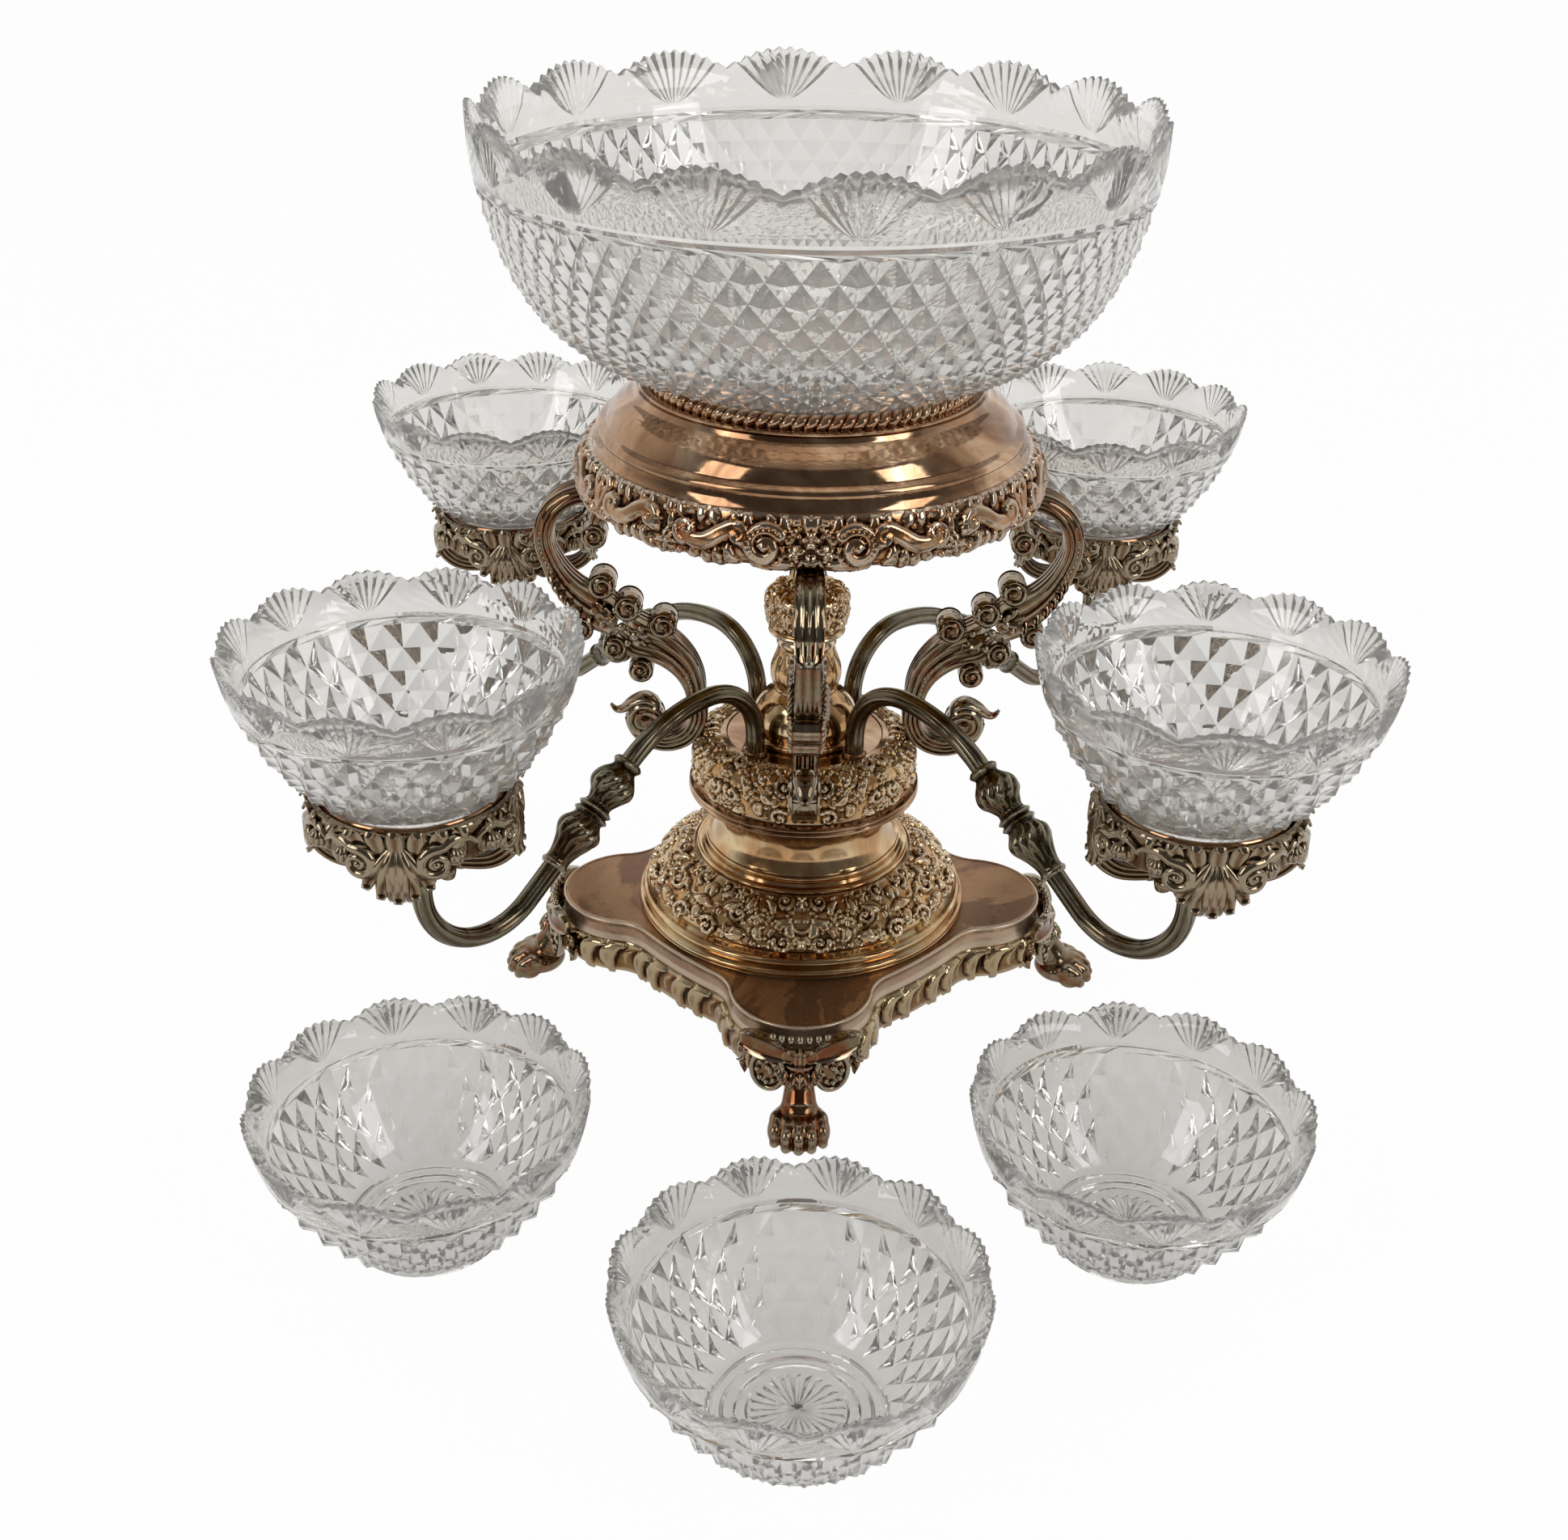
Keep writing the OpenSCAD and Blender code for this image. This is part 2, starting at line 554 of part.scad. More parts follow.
module bracket(a) {
  color(copper) rotate(a) rotate([90, 0, 0]) {
    translate([0, 0, -strap_face / 2]) linear_extrude(strap_face) {
      polygon(band(upper_path));
      polygon(band(lower_path));
      polygon(band(hook_path));
      polygon(band(crest_path));
      polygon([[stand_wall_r - 14, pan_z], [stand_wall_r - 2.5, pan_z], upper_c + [6, 17],
        upper_c + [3, 2], upper_c + [-6.2, 2], upper_c + [-8, 15]]);
    }
    translate([0, 0, -strap_face * 0.42]) linear_extrude(strap_face * 0.84) polygon(web_plate);
    for (i = [0 : len(volute_places) - 1]) {
      v = volute_places[i];
      half = strap_face / 2 + (i < 6 ? 1.2 : 0.5);
      translate([v[0], v[1], -half]) cylinder(r = v[2], h = 2 * half, $fn = 32);
      translate([0, 0, -half - 0.9]) linear_extrude(2 * half + 1.8) polygon(spiral(v, v[2]));
      translate([v[0], v[1], -half - 1.3]) cylinder(r = v[2] * 0.24, h = 2 * half + 2.6, $fn = 24);
    }
  }
}
module bracket_front() { bracket(270); }
module bracket_right() { bracket(0); }
module bracket_back() { bracket(90); }
module bracket_left() { bracket(180); }

// Bowl stand: pan, domed body, cast frieze and gadrooned collar.
module stand_pan() {
  color(silver) translate([0, 0, pan_z]) difference() {
    cylinder(r = stand_wall_r - spun_sheet, h = pan_thick);
    translate([0, 0, -1]) cylinder(r = hole_r, h = pan_thick + 2);
  }
}
dome_h = seat_z - ledge_z;
dome_shape = smooth([[ledge_r - 3.4, ledge_z + dome_h * 0.075], [ledge_r - 5.2, ledge_z + dome_h * 0.34],
  [ledge_r - 8.8, ledge_z + dome_h * 0.604], [ledge_r - 14, ledge_z + dome_h * 0.811],
  [seat_r + 1.4, ledge_z + dome_h * 0.909]], 4);
module bowl_stand() {
  t = spun_sheet;
  color(silver) rotate_extrude() polygon(concat(
    [[stand_wall_r - t, pan_z], [stand_wall_r, pan_z], [stand_wall_r, ledge_z - 1.6],
     [ledge_r - 0.6, ledge_z - 1.2], [ledge_r, ledge_z], [ledge_r - 1, ledge_z + 1.2]],
    dome_shape,
    [[seat_r, seat_z - 1.2], [seat_r, seat_z], [0, seat_z], [0, seat_z - t]],
    [for (i = [len(dome_shape) - 1 : -1 : 0]) [dome_shape[i][0] - t, min(dome_shape[i][1], seat_z - t)]],
    [[stand_wall_r - t, ledge_z - 1]]));
}
module stand_frieze() {
  low = stand_frieze_z;
  color(copper) rotate_extrude() polygon(concat([[stand_wall_r, low]],
    smooth([[stand_frieze_r - 3, low], [stand_frieze_r, low + 5], [stand_frieze_r - 1.2, low + 10],
      [stand_frieze_r - 4.6, ledge_z - 1.8]], 3), [[stand_wall_r, ledge_z - 1.8]]));
}
collar_bore = collar_r - 5;
module gadroon_collar() {
  color(silver) rotate_extrude() polygon(concat([[collar_bore, seat_z], [collar_r - 1.4, seat_z]],
    arc([collar_r - collar_h / 2 + 0.2, seat_z + collar_h / 2], collar_h / 2 - 0.2, -60, 110, 7),
    [[collar_bore, seat_z + collar_h]]));
}

// Hidden clamping rod with its nuts and washer.
rod_low = plinth_top_z - plinth_sheet - 2 - nut_thick - 3;
module tie_rod() {
  color(copper) translate([0, 0, rod_low])
    cylinder(r = rod_r, h = pan_z + pan_thick + nut_thick + 3 - rod_low);
}
module base_washer() {
  color(copper) translate([0, 0, plinth_top_z - plinth_sheet - 2]) difference() {
    cylinder(r = washer_r, h = 2);
    translate([0, 0, -1]) cylinder(r = hole_r, h = 4);
  }
}
module nut(z) {
  color(copper) translate([0, 0, z]) difference() {
    cylinder(d = nut_flats / cos(30), h = nut_thick, $fn = 6);
    translate([0, 0, -1]) cylinder(r = rod_r, h = nut_thick + 2);
  }
}
module base_nut() { nut(plinth_top_z - plinth_sheet - 2 - nut_thick); }
module top_nut() { nut(pan_z + pan_thick); }

// Branch middle line in its own radial plane, from the socket to the holder.
rise_c = [socket_distance + arch_rise_r, arch_top_z - arch_rise_r];
fall_c = [rise_c[0], arch_top_z - arch_fall_r];
run_a = [fall_c[0] + arch_fall_r * sin(fall_angle), fall_c[1] + arch_fall_r * cos(fall_angle)];
run_x = branch_reach - low_bend_r - low_bend_r * sin(fall_angle);
run_b = [run_x, run_a[1] - (run_x - run_a[0]) * tan(fall_angle)];
low_c = [branch_reach - low_bend_r, run_b[1] + low_bend_r * cos(fall_angle)];
holder_z = low_c[1] + stem_rise;
ledge_rest_z = holder_z + holder_h;
branch_line = concat(
  [[socket_distance, drum_top_z + socket_collar_h]],
  arc(rise_c, arch_rise_r, 180, 96, 10),
  arc(fall_c, arch_fall_r, 90, 90 - fall_angle, 8),
  arc(low_c, low_bend_r, 270 - fall_angle, 360, 14),
  [[branch_reach, holder_z]]);

// Reeded tube swept along the branch line.
sides = 2 * reed_count;
function ring_at(i) = let (h = heading(branch_line, i), p = branch_line[i])
  [for (k = [0 : sides - 1]) let (q = k % 2 == 0 ? tube_r : tube_r - reed_depth, a = 360 * k / sides)
    [p[0] + h[1] * q * cos(a), q * sin(a), p[1] - h[0] * q * cos(a)]];
tube_count = len(branch_line);
tube_points = [for (i = [0 : tube_count - 1]) each ring_at(i)];
tube_faces = concat(
  [[for (k = [0 : sides - 1]) k]],
  [for (i = [0 : tube_count - 2]) for (k = [0 : sides - 1]) let (n = (k + 1) % sides)
    each [[i * sides + k, (i + 1) * sides + k, (i + 1) * sides + n],
      [i * sides + k, (i + 1) * sides + n, i * sides + n]]],
  [[for (k = [sides - 1 : -1 : 0]) (tube_count - 1) * sides + k]]);
module branch(a) {
  color(silver) rotate(a) {
    polyhedron(points = tube_points, faces = tube_faces);
    translate([socket_distance, 0, drum_top_z + socket_collar_h - peg_length])
      cylinder(r = peg_r, h = peg_length + 4);
  }
}
module branch_front_left() { branch(225); }
module branch_front_right() { branch(315); }
module branch_back_right() { branch(45); }
module branch_back_left() { branch(135); }

// Baluster knops pressed on the straight run.
module knops(a) {
  s = baluster_length / 52;
  r = baluster_r;
  line = [[0, r * 0.56], [1.5, r * 0.68], [3.5, r * 0.55], [5, r * 0.65], [8, r * 0.9], [11, r],
    [14, r * 0.97], [17, r * 0.74], [20, r * 0.59], [22, r * 0.64], [23.5, r * 0.8], [25, r * 0.67],
    [26.5, r * 0.82], [28, r * 0.67], [30, r * 0.78], [33, r * 0.96], [35.5, r * 0.98], [38, r * 0.88],
    [42, r * 0.67], [46, r * 0.56], [49, r * 0.54], [50.5, r * 0.62], [52, r * 0.54]];
  bore = tube_r - reed_depth - 0.2;
  color(silver) rotate(a) translate([run_a[0], 0, run_a[1]]) rotate([0, 90 + fall_angle, 0])
    rotate_extrude() polygon(concat([[bore, 0]], [for (p = line) [p[1], p[0] * s]],
      [[bore, line[22][0] * s]]));
}
module knops_front_left() { knops(225); }
module knops_front_right() { knops(315); }
module knops_back_right() { knops(45); }
module knops_back_left() { knops(135); }

// Fluted shell calyx at the stem's top.
calyx_top = holder_z + calyx_h;
hub_z = holder_z + calyx_h * 0.62;
module calyx(a) {
  color(silver) rotate(a) translate([branch_reach, 0, 0]) difference() {
    rotate_extrude() polygon(concat([[0, holder_z], [tube_r + 1.4, holder_z], [tube_r + 2, holder_z + 1.6]],
      smooth([[tube_r + 1.6, holder_z + 2.4], [calyx_r * 0.55, holder_z + calyx_h * 0.4],
        [calyx_r * 0.85, holder_z + calyx_h * 0.72], [calyx_r, calyx_top]], 3),
      [[calyx_r - 2.2, calyx_top], [calyx_r * 0.5, hub_z], [0, hub_z]]));
    for (k = [0 : calyx_flutes - 1]) rotate(360 * k / calyx_flutes)
      translate([calyx_r + 0.4, 0, calyx_top + 0.4]) rotate([0, -60, 0])
        cylinder(r = 1.3, h = 6, center = true, $fn = 16);
  }
}
module calyx_front_left() { calyx(225); }
module calyx_front_right() { calyx(315); }
module calyx_back_right() { calyx(45); }
module calyx_back_left() { calyx(135); }

// Cradle: hub, four open strap loops and four leaf plates under and round the ring.
ring_low = ledge_rest_z - ring_h * 0.5;
loop_path = with_width(smooth([[4, hub_z + 4], [16, hub_z + 5], [leaf_reach * 0.74, hub_z + 9],
  [leaf_reach * 0.84, hub_z + 17], [leaf_reach * 0.78, ring_low - 3], [ring_bore_r, ring_low]], 5),
  loop_thick, loop_thick);
leaf_line = with_width(smooth([[ring_bore_r + ring_wall * 0.5, ring_low - 0.4],
  [leaf_reach * 0.88, ring_low - 2],
  [leaf_reach * 0.97, ring_low - 8], [leaf_reach - 1.2, ring_low - 14]], 4), 3, 2);
wing_line = with_width(smooth([[ring_bore_r - 1, ring_low - 1.6], [ring_bore_r + 5, ring_low + 0.5],
  [leaf_reach - 2, ring_low + 7], [leaf_reach, ring_low + 12.5]], 4), 3.2, 1.8);
module cradle(a) {
  color(copper) rotate(a) translate([branch_reach, 0, 0]) difference() {
    union() {
      translate([0, 0, hub_z]) cylinder(r = 7, h = 8);
      for (k = [0 : 3]) rotate(45 + 90 * k) {
        rotate([90, 0, 0]) translate([0, 0, -loop_width / 2]) linear_extrude(loop_width)
          polygon(band(loop_path));
        rotate(-31) rotate_extrude(angle = 62) polygon(band(leaf_line));
        rotate(-24) rotate_extrude(angle = 48) polygon(band(wing_line));
        for (t = [-18, 18]) rotate(t) translate([leaf_reach * 0.87, 0, ring_low - 3.4])
          rotate([0, 90, 0]) cylinder(r = 4.6, h = leaf_reach * 0.12, $fn = 24);
      }
    }
    translate([0, 0, ring_low]) cylinder(r = ring_bore_r + ring_wall + 0.4, h = 20);
  }
}
module cradle_front_left() { cradle(225); }
module cradle_front_right() { cradle(315); }
module cradle_back_right() { cradle(45); }
module cradle_back_left() { cradle(135); }

// Plain ring with an inner ledge for the bowl's foot.
module ring(a) {
  high = ring_low + ring_h;
  color(silver) rotate(a) translate([branch_reach, 0, 0]) rotate_extrude() polygon([
    [ring_bore_r - ring_ledge, ring_low], [ring_bore_r + ring_wall, ring_low],
    [ring_bore_r + ring_wall, high - 0.6], [ring_bore_r + ring_wall - 0.6, high],
    [ring_bore_r + 0.4, high], [ring_bore_r, high - 0.4], [ring_bore_r, ledge_rest_z],
    [ring_bore_r - ring_ledge, ledge_rest_z]]);
}
module ring_front_left() { ring(225); }
module ring_front_right() { ring(315); }
module ring_back_right() { ring(45); }
module ring_back_left() { ring(135); }

// Shape above two neighbouring scallops: round crests that meet in a dip.
function crest_drop(w, dip, f) = let (q = (w * w / 4 + dip * dip) / (2 * dip))
  sqrt(q * q - f * f * w * w / 4) - q;
function dip_shape(w, dip) = concat([[-w * 0.45, 2]],
  [for (f = [0.1, 0.4, 0.65, 0.85, 1]) [-w / 2 * (1 - f), crest_drop(w, dip, f)]],
  [for (f = [0.85, 0.65, 0.4, 0.1]) [w / 2 * (1 - f), crest_drop(w, dip, f)]], [[w * 0.45, 2]]);

// Cut-glass bowl: turned body with dips between the rim's scallops.
module bowl(outer, glass, high, rim, count, dip) {
  n = len(outer);
  inner = [for (i = [2 : n - 1]) [outer[i][0] - glass, max(outer[i][1], glass + 1)]];
  color(crystal) difference() {
    rotate_extrude() polygon(concat([[0, 0]], outer,
      [for (i = [len(inner) - 1 : -1 : 0]) inner[i]], [[0, glass + 1]]));
    for (k = [0 : count - 1]) rotate(360 * (k + 0.5) / count)
      translate([rim - 14, 0, high]) rotate([90, 0, 90]) linear_extrude(28)
        polygon(dip_shape(2 * rim * sin(180 / count), dip));
  }
}
foot_r = collar_bore - collar_clear;
module centre_bowl() {
  w = centre_rim_r - foot_r;
  h = centre_bowl_h;
  neck = collar_h + 0.6;
  b = h - neck;
  translate([0, 0, seat_z]) rotate(6) bowl(concat([[foot_r - 3, 0], [foot_r - 0.6, 1.4]],
    smooth([[foot_r, neck], [foot_r + w * 0.31, neck + b * 0.055], [foot_r + w * 0.6, neck + b * 0.185],
      [foot_r + w * 0.79, neck + b * 0.36], [foot_r + w * 0.915, neck + b * 0.57],
      [foot_r + w * 0.985, neck + b * 0.8]], 3), [[centre_rim_r, h]]),
    centre_glass, h, centre_rim_r, centre_scallops, centre_dip);
}
module small_bowl() {
  w = small_rim_r - small_foot_r;
  h = small_bowl_h;
  bowl(concat([[small_foot_r - 1.4, 0], [small_foot_r - 0.4, 1.2]],
    smooth([[small_foot_r, 5], [small_foot_r + w * 0.24, h * 0.15], [small_foot_r + w * 0.5, h * 0.32],
      [small_foot_r + w * 0.74, h * 0.53], [small_foot_r + w * 0.91, h * 0.78]], 3), [[small_rim_r, h]]),
    small_glass, h, small_rim_r, small_scallops, small_dip);
}
module side_bowl(a) {
  rotate(a) translate([branch_reach, 0, ledge_rest_z]) rotate(8) small_bowl();
}
module side_bowl_front_left() { side_bowl(225); }
module side_bowl_front_right() { side_bowl(315); }
module side_bowl_back_right() { side_bowl(45); }
module side_bowl_back_left() { side_bowl(135); }
module loose_bowl_left() { translate([left_bowl_x, left_bowl_y, 0]) rotate(20) small_bowl(); }
module loose_bowl_front() { translate([0, front_bowl_y, 0]) rotate(17) small_bowl(); }
module loose_bowl_right() { translate([right_bowl_x, right_bowl_y, 0]) rotate(150) small_bowl(); }

plinth();
plinth_border();
foot_front();
foot_right();
foot_back();
foot_left();
base_dome();
base_frieze();
drum();
drum_frieze();
socket_front_left();
socket_front_right();
socket_back_right();
socket_back_left();
bell();
lower_knop();
upper_knop();
column_top();
bracket_front();
bracket_right();
bracket_back();
bracket_left();
stand_pan();
bowl_stand();
stand_frieze();
gadroon_collar();
tie_rod();
base_washer();
base_nut();
top_nut();
branch_front_left();
knops_front_left();
calyx_front_left();
cradle_front_left();
ring_front_left();
branch_front_right();
knops_front_right();
calyx_front_right();
cradle_front_right();
ring_front_right();
branch_back_right();
knops_back_right();
calyx_back_right();
cradle_back_right();
ring_back_right();
branch_back_left();
knops_back_left();
calyx_back_left();
cradle_back_left();
ring_back_left();
centre_bowl();
side_bowl_front_left();
side_bowl_front_right();
side_bowl_back_right();
side_bowl_back_left();
loose_bowl_left();
loose_bowl_front();
loose_bowl_right();
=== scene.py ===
import math

import bmesh
import bpy
import numpy as np
from mathutils import Matrix, Vector


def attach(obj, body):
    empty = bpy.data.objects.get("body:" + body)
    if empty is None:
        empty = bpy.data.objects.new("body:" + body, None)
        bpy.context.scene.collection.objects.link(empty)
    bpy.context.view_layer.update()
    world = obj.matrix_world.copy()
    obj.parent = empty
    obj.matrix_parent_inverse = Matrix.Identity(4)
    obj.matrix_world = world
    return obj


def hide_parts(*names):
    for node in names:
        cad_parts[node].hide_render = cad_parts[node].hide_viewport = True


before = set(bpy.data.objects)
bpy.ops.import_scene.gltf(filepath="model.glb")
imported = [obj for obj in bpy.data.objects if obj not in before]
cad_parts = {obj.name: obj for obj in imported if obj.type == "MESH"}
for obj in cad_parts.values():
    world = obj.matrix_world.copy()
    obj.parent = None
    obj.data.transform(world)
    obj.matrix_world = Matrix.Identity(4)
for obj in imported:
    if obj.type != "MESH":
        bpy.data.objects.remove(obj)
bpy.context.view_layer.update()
print("frame loaded")

mm = 0.001
tau = 2 * math.pi
armAngles = {"front_left": 225, "front_right": 315, "back_right": 45, "back_left": 135}
cornerAngles = {"front": 270, "right": 0, "back": 90, "left": 180}


def hexColour(code):
    values = [int(code[i:i + 2], 16) / 255 for i in (1, 3, 5)]
    return [v / 12.92 if v <= 0.04045 else ((v + 0.055) / 1.055) ** 2.4 for v in values] + [1.0]


def addNode(tree, kind, settings=None, inputs=None):
    node = tree.nodes.new(kind)
    for key, value in (settings or {}).items():
        setattr(node, key, value)
    for key, value in (inputs or {}).items():
        if isinstance(value, bpy.types.NodeSocket):
            tree.links.new(value, node.inputs[key])
        else:
            node.inputs[key].default_value = value
    return node


def setRamp(node, stops):
    ramp = node.color_ramp
    while len(ramp.elements) < len(stops):
        ramp.elements.new(0.5)
    for element, (place, code) in zip(ramp.elements, stops):
        element.position = place
        element.color = hexColour(code)


# Camera at the photograph's viewing angle, worked out from the rings and bowls.
view = {"place": (-7.0, -777.9, 521.4), "down": 27.93, "roll": 1.0, "lens": 45.6,
        "shift": (-0.0026, -0.0032), "sensor": 36, "near": 0.01}
cameraData = bpy.data.cameras.new("camera")
cameraData.lens = view["lens"]
cameraData.sensor_width = view["sensor"]
cameraData.shift_x, cameraData.shift_y = view["shift"]
cameraData.clip_start = view["near"]
camera = bpy.data.objects.new("camera", cameraData)
camera.matrix_world = (Matrix.Translation([v * mm for v in view["place"]])
                       @ Matrix.Rotation(math.radians(90 - view["down"]), 4, "X")
                       @ Matrix.Rotation(math.radians(view["roll"]), 4, "Z"))
scene = bpy.context.scene
scene.collection.objects.link(camera)
scene.camera = camera


# Paths and profiles, in millimetres.
def arcPoints(centre, radius, start, end, count):
    angles = np.radians(np.linspace(start, end, count))
    return np.stack([centre[0] + radius * np.cos(angles), centre[1] + radius * np.sin(angles)], -1)


def throughPoints(points, steps):
    p = np.asarray(points, float)
    padded = np.vstack([p[0], p, p[-1]])
    t = np.linspace(0, 1, steps, endpoint=False)[:, None]
    rows = []
    for i in range(len(p) - 1):
        a, b, c, d = padded[i:i + 4]
        rows.append(0.5 * (2 * b + (c - a) * t + (2 * a - 5 * b + 4 * c - d) * t ** 2
                           + (3 * b - a - 3 * c + d) * t ** 3))
    return np.vstack(rows + [p[-1:]])


def runAlong(points):
    return np.concatenate([[0], np.cumsum(np.linalg.norm(np.diff(points, axis=0), axis=1))])


def around(count):
    return tau * np.arange(count) / count


def polar(radius, angle, height):
    return np.stack(np.broadcast_arrays(radius * np.cos(angle), radius * np.sin(angle), height), -1)


def ovalRows(wide, tall, angle):
    return np.stack([wide[:, None] * np.cos(angle), tall[:, None] * np.sin(angle)], -1)


def upright(line):
    return np.column_stack([line[:, 0], np.zeros(len(line)), line[:, 1]])


def evenly(points, count):
    p = np.asarray(points, float)
    run = runAlong(p)
    keep = np.concatenate([[True], np.diff(run) > 1e-9])
    wanted = np.linspace(0, run[-1], count)
    return np.stack([np.interp(wanted, run[keep], p[keep, k]) for k in range(p.shape[1])], -1)


def spread(values, count):
    values = np.atleast_1d(np.asarray(values, float))
    return np.interp(np.linspace(0, 1, count), np.linspace(0, 1, len(values)), values)


def unitRows(vectors):
    return vectors / np.maximum(np.linalg.norm(vectors, axis=-1, keepdims=True), 1e-9)


# A shell is a pair: points, and a list of face arrays that index them.
def gridShell(points, closeU=False, closeV=False):
    nu, nv = points.shape[:2]
    a, b = np.meshgrid(np.arange(nu if closeU else nu - 1), np.arange(nv if closeV else nv - 1),
                       indexing="ij")
    a2, b2 = (a + 1) % nu, (b + 1) % nv
    quads = np.stack([a * nv + b, a2 * nv + b, a2 * nv + b2, a * nv + b2], -1).reshape(-1, 4)
    return points.reshape(-1, 3), [quads]


def joinShells(shells):
    points, faces, offset = [], [], 0
    for shellPoints, shellFaces in shells:
        points.append(shellPoints)
        faces += [f + offset for f in shellFaces]
        offset += len(shellPoints)
    return np.vstack(points), faces


def capped(shell, loops):
    points, faces = shell
    for loop, centre in loops:
        tip = len(points)
        points = np.vstack([points, np.asarray(centre, float)[None]])
        faces = faces + [np.stack([loop, np.roll(loop, -1), np.full(len(loop), tip)], -1)]
    return points, faces


def cappedTube(points, first, last):
    n, m = points.shape[:2]
    return capped(gridShell(points, closeV=True), [(np.arange(m), first), (np.arange(m) + (n - 1) * m, last)])


def shifted(shell, offset):
    return shell[0] + np.asarray(offset, float), shell[1]


def moved(shell, matrix, offset=(0, 0, 0)):
    return shell[0] @ np.asarray(matrix, float).T + np.asarray(offset, float), shell[1]


def aboutZ(degrees):
    c, s = math.cos(math.radians(degrees)), math.sin(math.radians(degrees))
    return np.array([[c, -s, 0], [s, c, 0], [0, 0, 1]])


def turnedShells(shells, degrees):
    return [moved(s, aboutZ(degrees)) for s in shells]


def sweptShell(path, section, side):
    path = np.asarray(path, float)
    section = np.asarray(section, float)
    if section.ndim == 2:
        section = np.repeat(section[None], len(path), 0)
    ahead = unitRows(np.gradient(path, axis=0))
    side = np.broadcast_to(np.asarray(side, float), path.shape)
    across = unitRows(side - (side * ahead).sum(1, keepdims=True) * ahead)
    up = np.cross(ahead, across)
    points = (path[:, None] + section[..., 0:1] * across[:, None] + section[..., 1:2] * up[:, None])
    return cappedTube(points, points[0].mean(0), points[-1].mean(0))


def profileNormals(profile, loop):
    p = np.asarray(profile, float)
    if loop:
        run = np.roll(p, -1, 0) - np.roll(p, 1, 0)
    else:
        run = np.gradient(p, axis=0)
    return unitRows(np.stack([run[:, 1], -run[:, 0]], -1))


def turnedShell(profile, count, raised=None, closed=True):
    p = np.asarray(profile, float)
    radius = np.repeat(p[None, :, 0], count, 0)
    height = np.repeat(p[None, :, 1], count, 0)
    if raised is not None:
        n = profileNormals(p, closed)
        radius = radius + raised * n[None, :, 0]
        height = height + raised * n[None, :, 1]
    shell = gridShell(polar(radius, around(count)[:, None], height), closeU=True, closeV=closed)
    if closed:
        return shell
    rows = p.shape[0]
    return capped(shell, [(np.arange(count) * rows, (0, 0, p[0, 1])),
                          (np.arange(count) * rows + rows - 1, (0, 0, p[-1, 1]))])


# Raised motifs, drawn as height fields over an unrolled band.
def ribField(U, V, path, width, height, groove):
    path = np.asarray(path, float)
    width, height = spread(width, len(path)), spread(height, len(path))
    field = np.zeros(U.shape)
    for k in range(len(path) - 1):
        a, d = path[k], path[k + 1] - path[k]
        t = np.clip(((U - a[0]) * d[0] + (V - a[1]) * d[1]) / max(d @ d, 1e-9), 0, 1)
        x = np.hypot(U - a[0] - t * d[0], V - a[1] - t * d[1]) / (width[k] + (width[k + 1] - width[k]) * t)
        rise = np.sqrt(np.clip(1 - x * x, 0, 1)) * (1 - groove * np.exp(-(x / 0.28) ** 2))
        field = np.maximum(field, rise * (height[k] + (height[k + 1] - height[k]) * t))
    return field


def curlPath(centre, radius, turns, start, hand):
    t = np.linspace(0, 1, 26)
    angle = math.radians(start) + hand * tau * turns * t
    r = radius * (1 - 0.78 * t)
    return np.stack([centre[0] + r * np.cos(angle), centre[1] + r * np.sin(angle)], -1)


def curlField(U, V, centre, radius, turns, start, hand, width, height):
    field = ribField(U, V, curlPath(centre, radius, turns, start, hand), [width, width * 0.6], height, 0.3)
    return np.maximum(field, beadField(U, V, centre, radius * 0.3, height * 1.1))


def beadField(U, V, centre, radius, height):
    x = np.hypot(U - centre[0], V - centre[1]) / radius
    return height * np.sqrt(np.clip(1 - x * x, 0, 1))


def rosetteField(U, V, centre, radius, petals, height, phase=0.0):
    du, dv = U - centre[0], V - centre[1]
    rho, theta = np.hypot(du, dv) / radius, np.arctan2(dv, du) + phase
    lobe = np.abs(np.cos(petals * theta / 2))
    rise = np.clip(1 - (rho / (0.55 + 0.45 * lobe ** 0.7)) ** 3, 0, 1) * (0.55 + 0.45 * lobe)
    rise = rise * (0.7 + 0.3 * np.clip(rho * 1.6, 0, 1))
    return np.maximum(rise * height, beadField(U, V, centre, radius * 0.3, height * 1.15))


def leafField(U, V, root, tip, bend, width, height):
    root, tip = np.asarray(root, float), np.asarray(tip, float)
    run = tip - root
    side = np.array([-run[1], run[0]])
    t = np.linspace(0, 1, 12)[:, None]
    path = root + run * t + side * bend * np.sin(math.pi * t)
    swell = np.sin(math.pi * np.clip(t[:, 0] * 0.86 + 0.12, 0, 1)) ** 0.8
    return ribField(U, V, path, np.maximum(width * swell, 0.15), height * (0.45 + 0.55 * swell), 0.55)


def mirrorTile(half):
    return np.concatenate([half, half[-2:0:-1]], 0)


